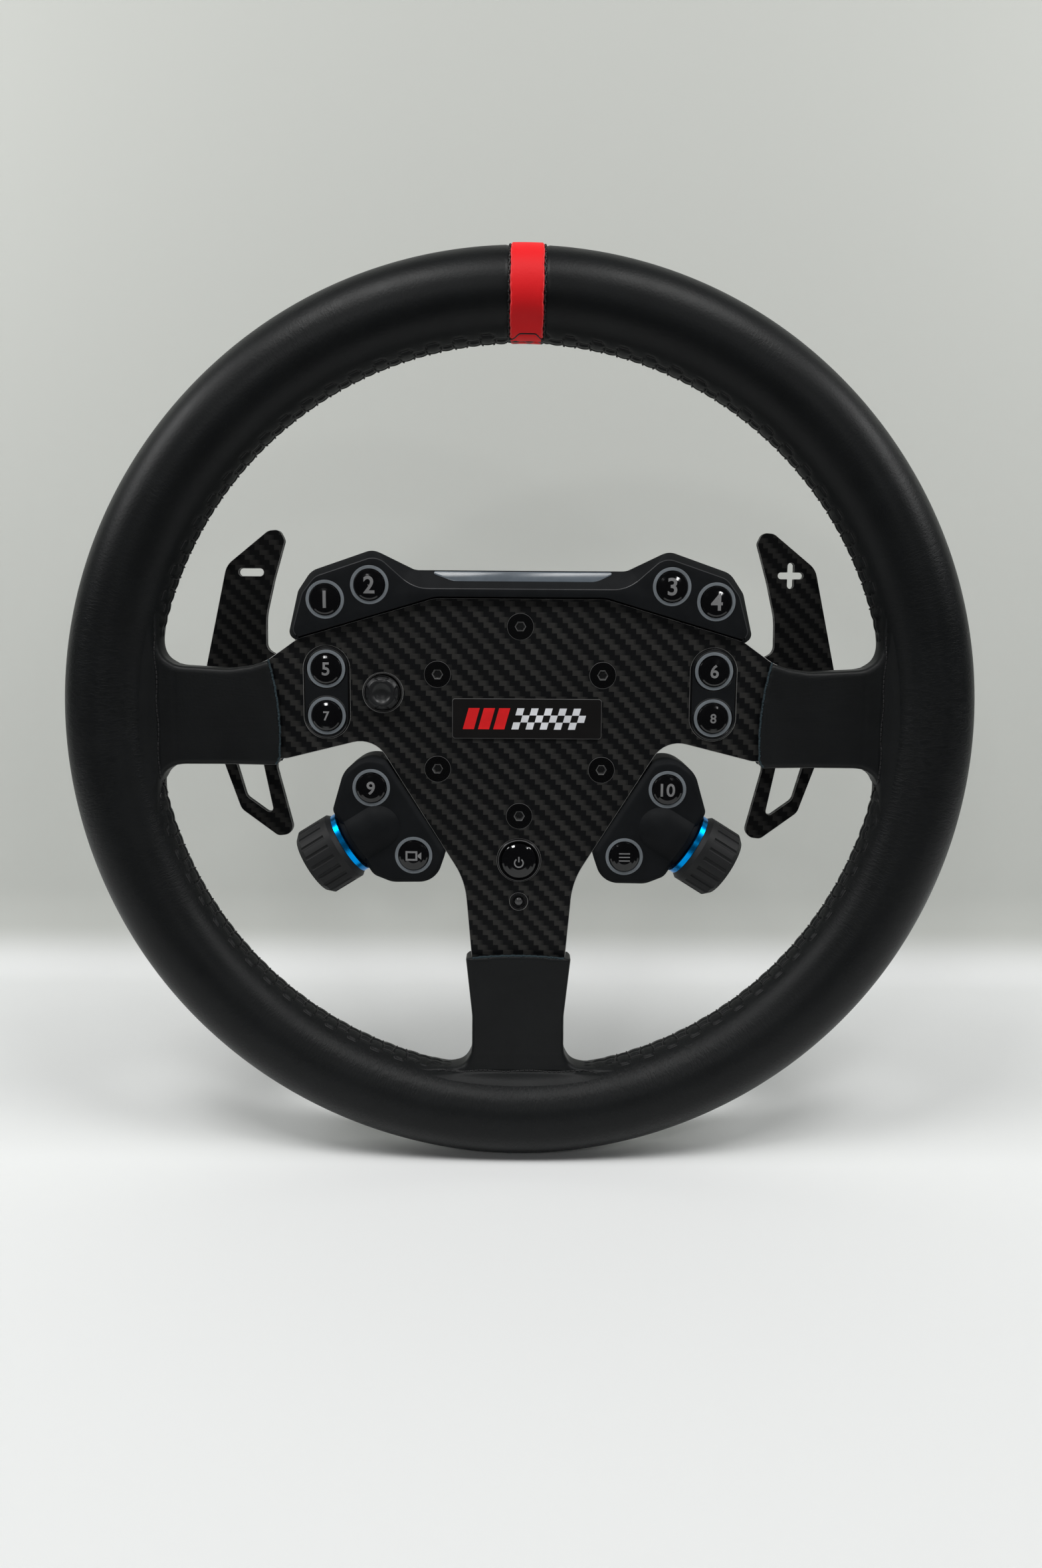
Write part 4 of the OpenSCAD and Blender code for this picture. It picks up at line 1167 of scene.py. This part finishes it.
def glyph(text, size):
    """Flat triangles of a number, centred on the origin."""
    curve = bpy.data.curves.new("glyph", "FONT")
    curve.body = text
    curve.size = size
    curve.align_x = "CENTER"
    curve.align_y = "CENTER"
    curve.offset = 0.018 * size
    maker = bpy.data.objects.new("glyph", curve)
    bpy.context.scene.collection.objects.link(maker)
    bpy.context.view_layer.update()
    mesh = bpy.data.meshes.new_from_object(maker.evaluated_get(bpy.context.evaluated_depsgraph_get()))
    points = np.array([v.co[:2] for v in mesh.vertices])
    faces = [tuple(p.vertices) for p in mesh.polygons]
    bpy.data.objects.remove(maker)
    bpy.data.meshes.remove(mesh)
    points -= (points.min(0) + points.max(0)) / 2
    return points, faces


def ribbon(line, width):
    """A flat strip along a line of (x, z)."""
    line = np.asarray(line, float)
    ahead = np.gradient(line, axis=0)
    ahead /= np.linalg.norm(ahead, axis=1)[:, None]
    side = np.stack([-ahead[:, 1], ahead[:, 0]], 1) * width / 2
    points = np.concatenate([line - side, line + side])
    count = len(line)
    return points, [(i, i + 1, count + i + 1, count + i) for i in range(count - 1)]


def camera_mark():
    """A video camera: a frame with a small fan-shaped lens."""
    box = [ribbon((a, b), 0.72) for a, b in (
        ((-2.9, 1.45), (1.5, 1.45)), ((-2.9, -1.45), (1.5, -1.45)),
        ((-2.54, -1.8), (-2.54, 1.8)), ((1.14, -1.8), (1.14, 1.8)))]
    fan = (np.array([(1.65, 0.35), (1.65, -0.35), (2.95, -1.4), (2.95, 1.4)]), [(0, 1, 2, 3)])
    return box + [fan]


def menu_mark():
    """Three level bars."""
    return [ribbon(((-2.05, z), (2.05, z)), 0.42) for z in (1.35, 0.0, -1.35)]


def power_mark():
    """An open ring with an upright bar."""
    turn = np.radians(np.linspace(125, 415, 40))
    ring = np.stack([1.6 * np.cos(turn), 1.6 * np.sin(turn) - 0.6], 1)
    return [ribbon(ring, 0.5), ribbon(((0, -0.3), (0, 1.75)), 0.5)]


def draw_on_cap(node, body, shapes):
    """Lays flat shapes on the domed front of a cap."""
    low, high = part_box(node)
    middle = place_of(node)
    cap_r = (high.x - low.x) / MM / 2 - 1.0
    top = low.y / MM - RIM_Y
    mesh = bmesh.new()
    for points, faces in shapes:
        verts = [mesh.verts.new((p[0], 0, p[1])) for p in points]
        for face in faces:
            try:
                mesh.faces.new([verts[i] for i in face])
            except ValueError:
                continue
    for axis in range(2):
        for cut in np.arange(-4.2, 4.3, 0.6):
            where = (cut, 0, 0) if axis == 0 else (0, 0, cut)
            way = (1, 0, 0) if axis == 0 else (0, 0, 1)
            everything = mesh.verts[:] + mesh.edges[:] + mesh.faces[:]
            bmesh.ops.bisect_plane(mesh, geom=everything, plane_co=where, plane_no=way)
    mesh.verts.index_update()
    points = np.array([v.co[:] for v in mesh.verts])
    faces = []
    for face in mesh.faces:
        face.normal_update()
        ring = tuple(v.index for v in face.verts)
        faces.append(ring if face.normal.y < 0 else tuple(reversed(ring)))
    mesh.free()
    r = np.hypot(points[:, 0], points[:, 2])
    dome = 0.9 * (1 - np.sqrt(np.clip(1 - (r / cap_r) ** 2, 0, None)))
    points[:, 1] = top + dome - 0.025
    points[:, 0] += middle[0]
    points[:, 2] += middle[1]
    add_piece("mark_" + node, (points, faces), MARK, body, smooth=False)


def build_marks():
    """Numbers and plain symbols on the button caps."""
    big, middling, small = 8.6, 6.6, 4.7
    numbers = {1: ("1", big), 2: ("2", big), 3: ("3", big), 4: ("4", big), 5: ("5", middling),
               6: ("7", small), 7: ("6", middling), 8: ("8", small), 9: ("9", middling),
               11: ("10", middling)}
    marks = {k: [glyph(*number)] for k, number in numbers.items()}
    marks[10] = camera_mark()
    marks[12] = menu_mark()
    for k in range(1, 13):
        draw_on_cap("cap_" + str(k), "button_" + str(k), marks[k])
    draw_on_cap("start_cap", "start_button", power_mark())


def build_badge():
    """Slanted racing bars and a chequered band on the badge."""
    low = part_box("badge")[0]
    middle = place_of("badge")
    y = low.y / MM - RIM_Y - 0.03
    lean, top = 0.28, 3.9
    bars_from, bar_pitch, bar_width = -22.5, 5.6, 4.1
    squares_from, square = -4.6, 2.6

    def patch(x0, x1, z0, z1):
        corners = [(x0, z0), (x1, z0), (x1, z1), (x0, z1)]
        points = [(middle[0] + x + lean * z, y, middle[1] + z) for x, z in corners]
        return np.array(points), [(0, 1, 2, 3)]

    starts = [bars_from + bar_pitch * k for k in range(3)]
    reds = [patch(x0, x0 + bar_width, -top, top) for x0 in starts]
    add_piece("badge_bars", join_parts(reds), BADGE_RED, smooth=False)
    whites = []
    for row in range(3):
        for column in range(row % 2, 10, 2):
            x0, z0 = squares_from + square * column, square * row - top
            whites.append(patch(x0, x0 + square, z0, z0 + square))
    add_piece("badge_chequer", join_parts(whites), BADGE_WHITE, smooth=False)


finish_cad()
build_rim()
build_seam()
build_sleeves()
build_stripe()
build_top_pod()
build_lower_pods()
build_spring()
build_stick()
build_marks()
build_badge()

# ---- Floor, light and camera ----


def add_sheet(name, rows, material, reach=900.0):
    """A stage sheet through a line of (y, z), as wide as twice its reach."""
    points = []
    for y, z in rows:
        points += [(-reach, y, z), (reach, y, z)]
    mesh = bpy.data.meshes.new(name)
    mesh.from_pydata(place(points).tolist(), [], grid_faces(len(rows), 2))
    mesh.polygons.foreach_set("use_smooth", [True] * len(mesh.polygons))
    mesh.materials.append(material)
    sheet = bpy.data.objects.new(name, mesh)
    bpy.context.scene.collection.objects.link(sheet)
    return sheet


# The wall is painted darker than the table, a painted shade for the lesser light on the upright part
FLOOR_TONE, SHADED_WALL_TONE = (0.86, 0.87, 0.87), (0.51, 0.522, 0.496)


def build_stage():
    """A pale table that sweeps up into a pale wall."""
    near_edge, front_edge, wall_y, bend, height = -1600.0, -300.0, 250.0, 44.0, 900.0
    rows = [(front_edge, FLOOR_Z), (wall_y - bend, FLOOR_Z)]
    for k in range(1, 17):
        a = math.pi / 2 * k / 16
        rows.append((wall_y - bend + bend * math.sin(a), FLOOR_Z + bend * (1 - math.cos(a))))
    rows.append((wall_y, height))
    f = Finish("pale_backdrop", FLOOR_TONE, 0.75, Specular_IOR_Level=0.1)
    height_above = f.axes(f.position())[2]
    # Painted shade: above the bend the sheet is painted darker
    up_the_wall = f.ramp(height_above, FLOOR_Z * MM, (FLOOR_Z + 24) * MM)
    f.paint(up_the_wall, FLOOR_TONE, SHADED_WALL_TONE)
    f.bump(f.noise(f.position(), 900.0, 3.0), 0.02, 0.0002)
    # Clear from behind, so the wall doesn't hide the wheel's back
    clear = f.add("BsdfTransparent")
    behind = f.add("NewGeometry", output=6)
    shown = f.add("MixShader", {0: behind, 1: f.shader.outputs[0], 2: clear})
    f.tree.links.new(shown, f.tree.nodes["Material Output"].inputs["Surface"])
    add_sheet("backdrop", rows, f.material)
    # The near part of the table gives no bounce light, so the plate stays dark
    near = add_sheet("table_front", [(near_edge, FLOOR_Z), (front_edge, FLOOR_Z)], f.material)
    near.visible_diffuse = False
    near.visible_glossy = False


def add_light(name, at, towards, size, power, colour=(1, 1, 1)):
    data = bpy.data.lights.new(name, "AREA")
    data.shape = "RECTANGLE"
    data.size, data.size_y = (s * MM for s in size)
    data.energy = power
    data.color = colour
    lamp = bpy.data.objects.new(name, data)
    bpy.context.scene.collection.objects.link(lamp)
    at, towards = (Vector(place(p)[0]) for p in (at, towards))
    lamp.location = at
    lamp.rotation_euler = (towards - at).to_track_quat("-Z", "Y").to_euler()


def build_lights():
    bpy.context.scene.view_settings.view_transform = "Standard"
    world = bpy.data.worlds.new("studio")
    bpy.context.scene.world = world
    world.use_nodes = True
    background = world.node_tree.nodes["Background"]
    background.inputs["Color"].default_value = (0.80, 0.83, 0.85, 1)
    background.inputs["Strength"].default_value = 0.04
    add_light("key_left", (-300, -430, 800), (0, 0, -40), (380, 250), 3.6, (1.0, 1.0, 0.99))
    add_light("key_right", (300, -430, 800), (0, 0, -40), (380, 250), 3.4, (1.0, 1.0, 0.99))
    add_light("spark_left", (-260, -1010, 385), (0, 0, 0), (120, 60), 0.9)
    add_light("spark_right", (350, -1010, 300), (0, 0, 0), (100, 50), 0.45)
    add_light("wall_left", (-600, -160, 420), (-420, 250, 120), (200, 300), 1.95)
    add_light("wall_right", (600, -160, 420), (420, 250, 120), (200, 300), 1.75)


def build_camera():
    """The viewpoint: close, a little above the hub, looking slightly down."""
    distance, elevation, pitch, roll = 450.0, math.radians(5.43), math.radians(8.36), math.radians(0.39)
    at = (0.6, -distance * math.cos(elevation), distance * math.sin(elevation))
    forward = Vector((0, math.cos(pitch), -math.sin(pitch)))
    right = Vector((1, 0, 0))
    up = right.cross(forward)
    right_rolled = right * math.cos(roll) + up * math.sin(roll)
    up_rolled = up * math.cos(roll) - right * math.sin(roll)
    data = bpy.data.cameras.new("camera")
    data.sensor_fit = "VERTICAL"
    data.sensor_height = 36.0
    data.lens = 27.86
    data.clip_start = 0.01
    camera = bpy.data.objects.new("camera", data)
    bpy.context.scene.collection.objects.link(camera)
    turn = Matrix((right_rolled, up_rolled, -forward)).transposed().to_4x4()
    camera.matrix_world = Matrix.Translation(Vector(place(at)[0])) @ turn
    bpy.context.scene.camera = camera


build_stage()
build_lights()
build_camera()
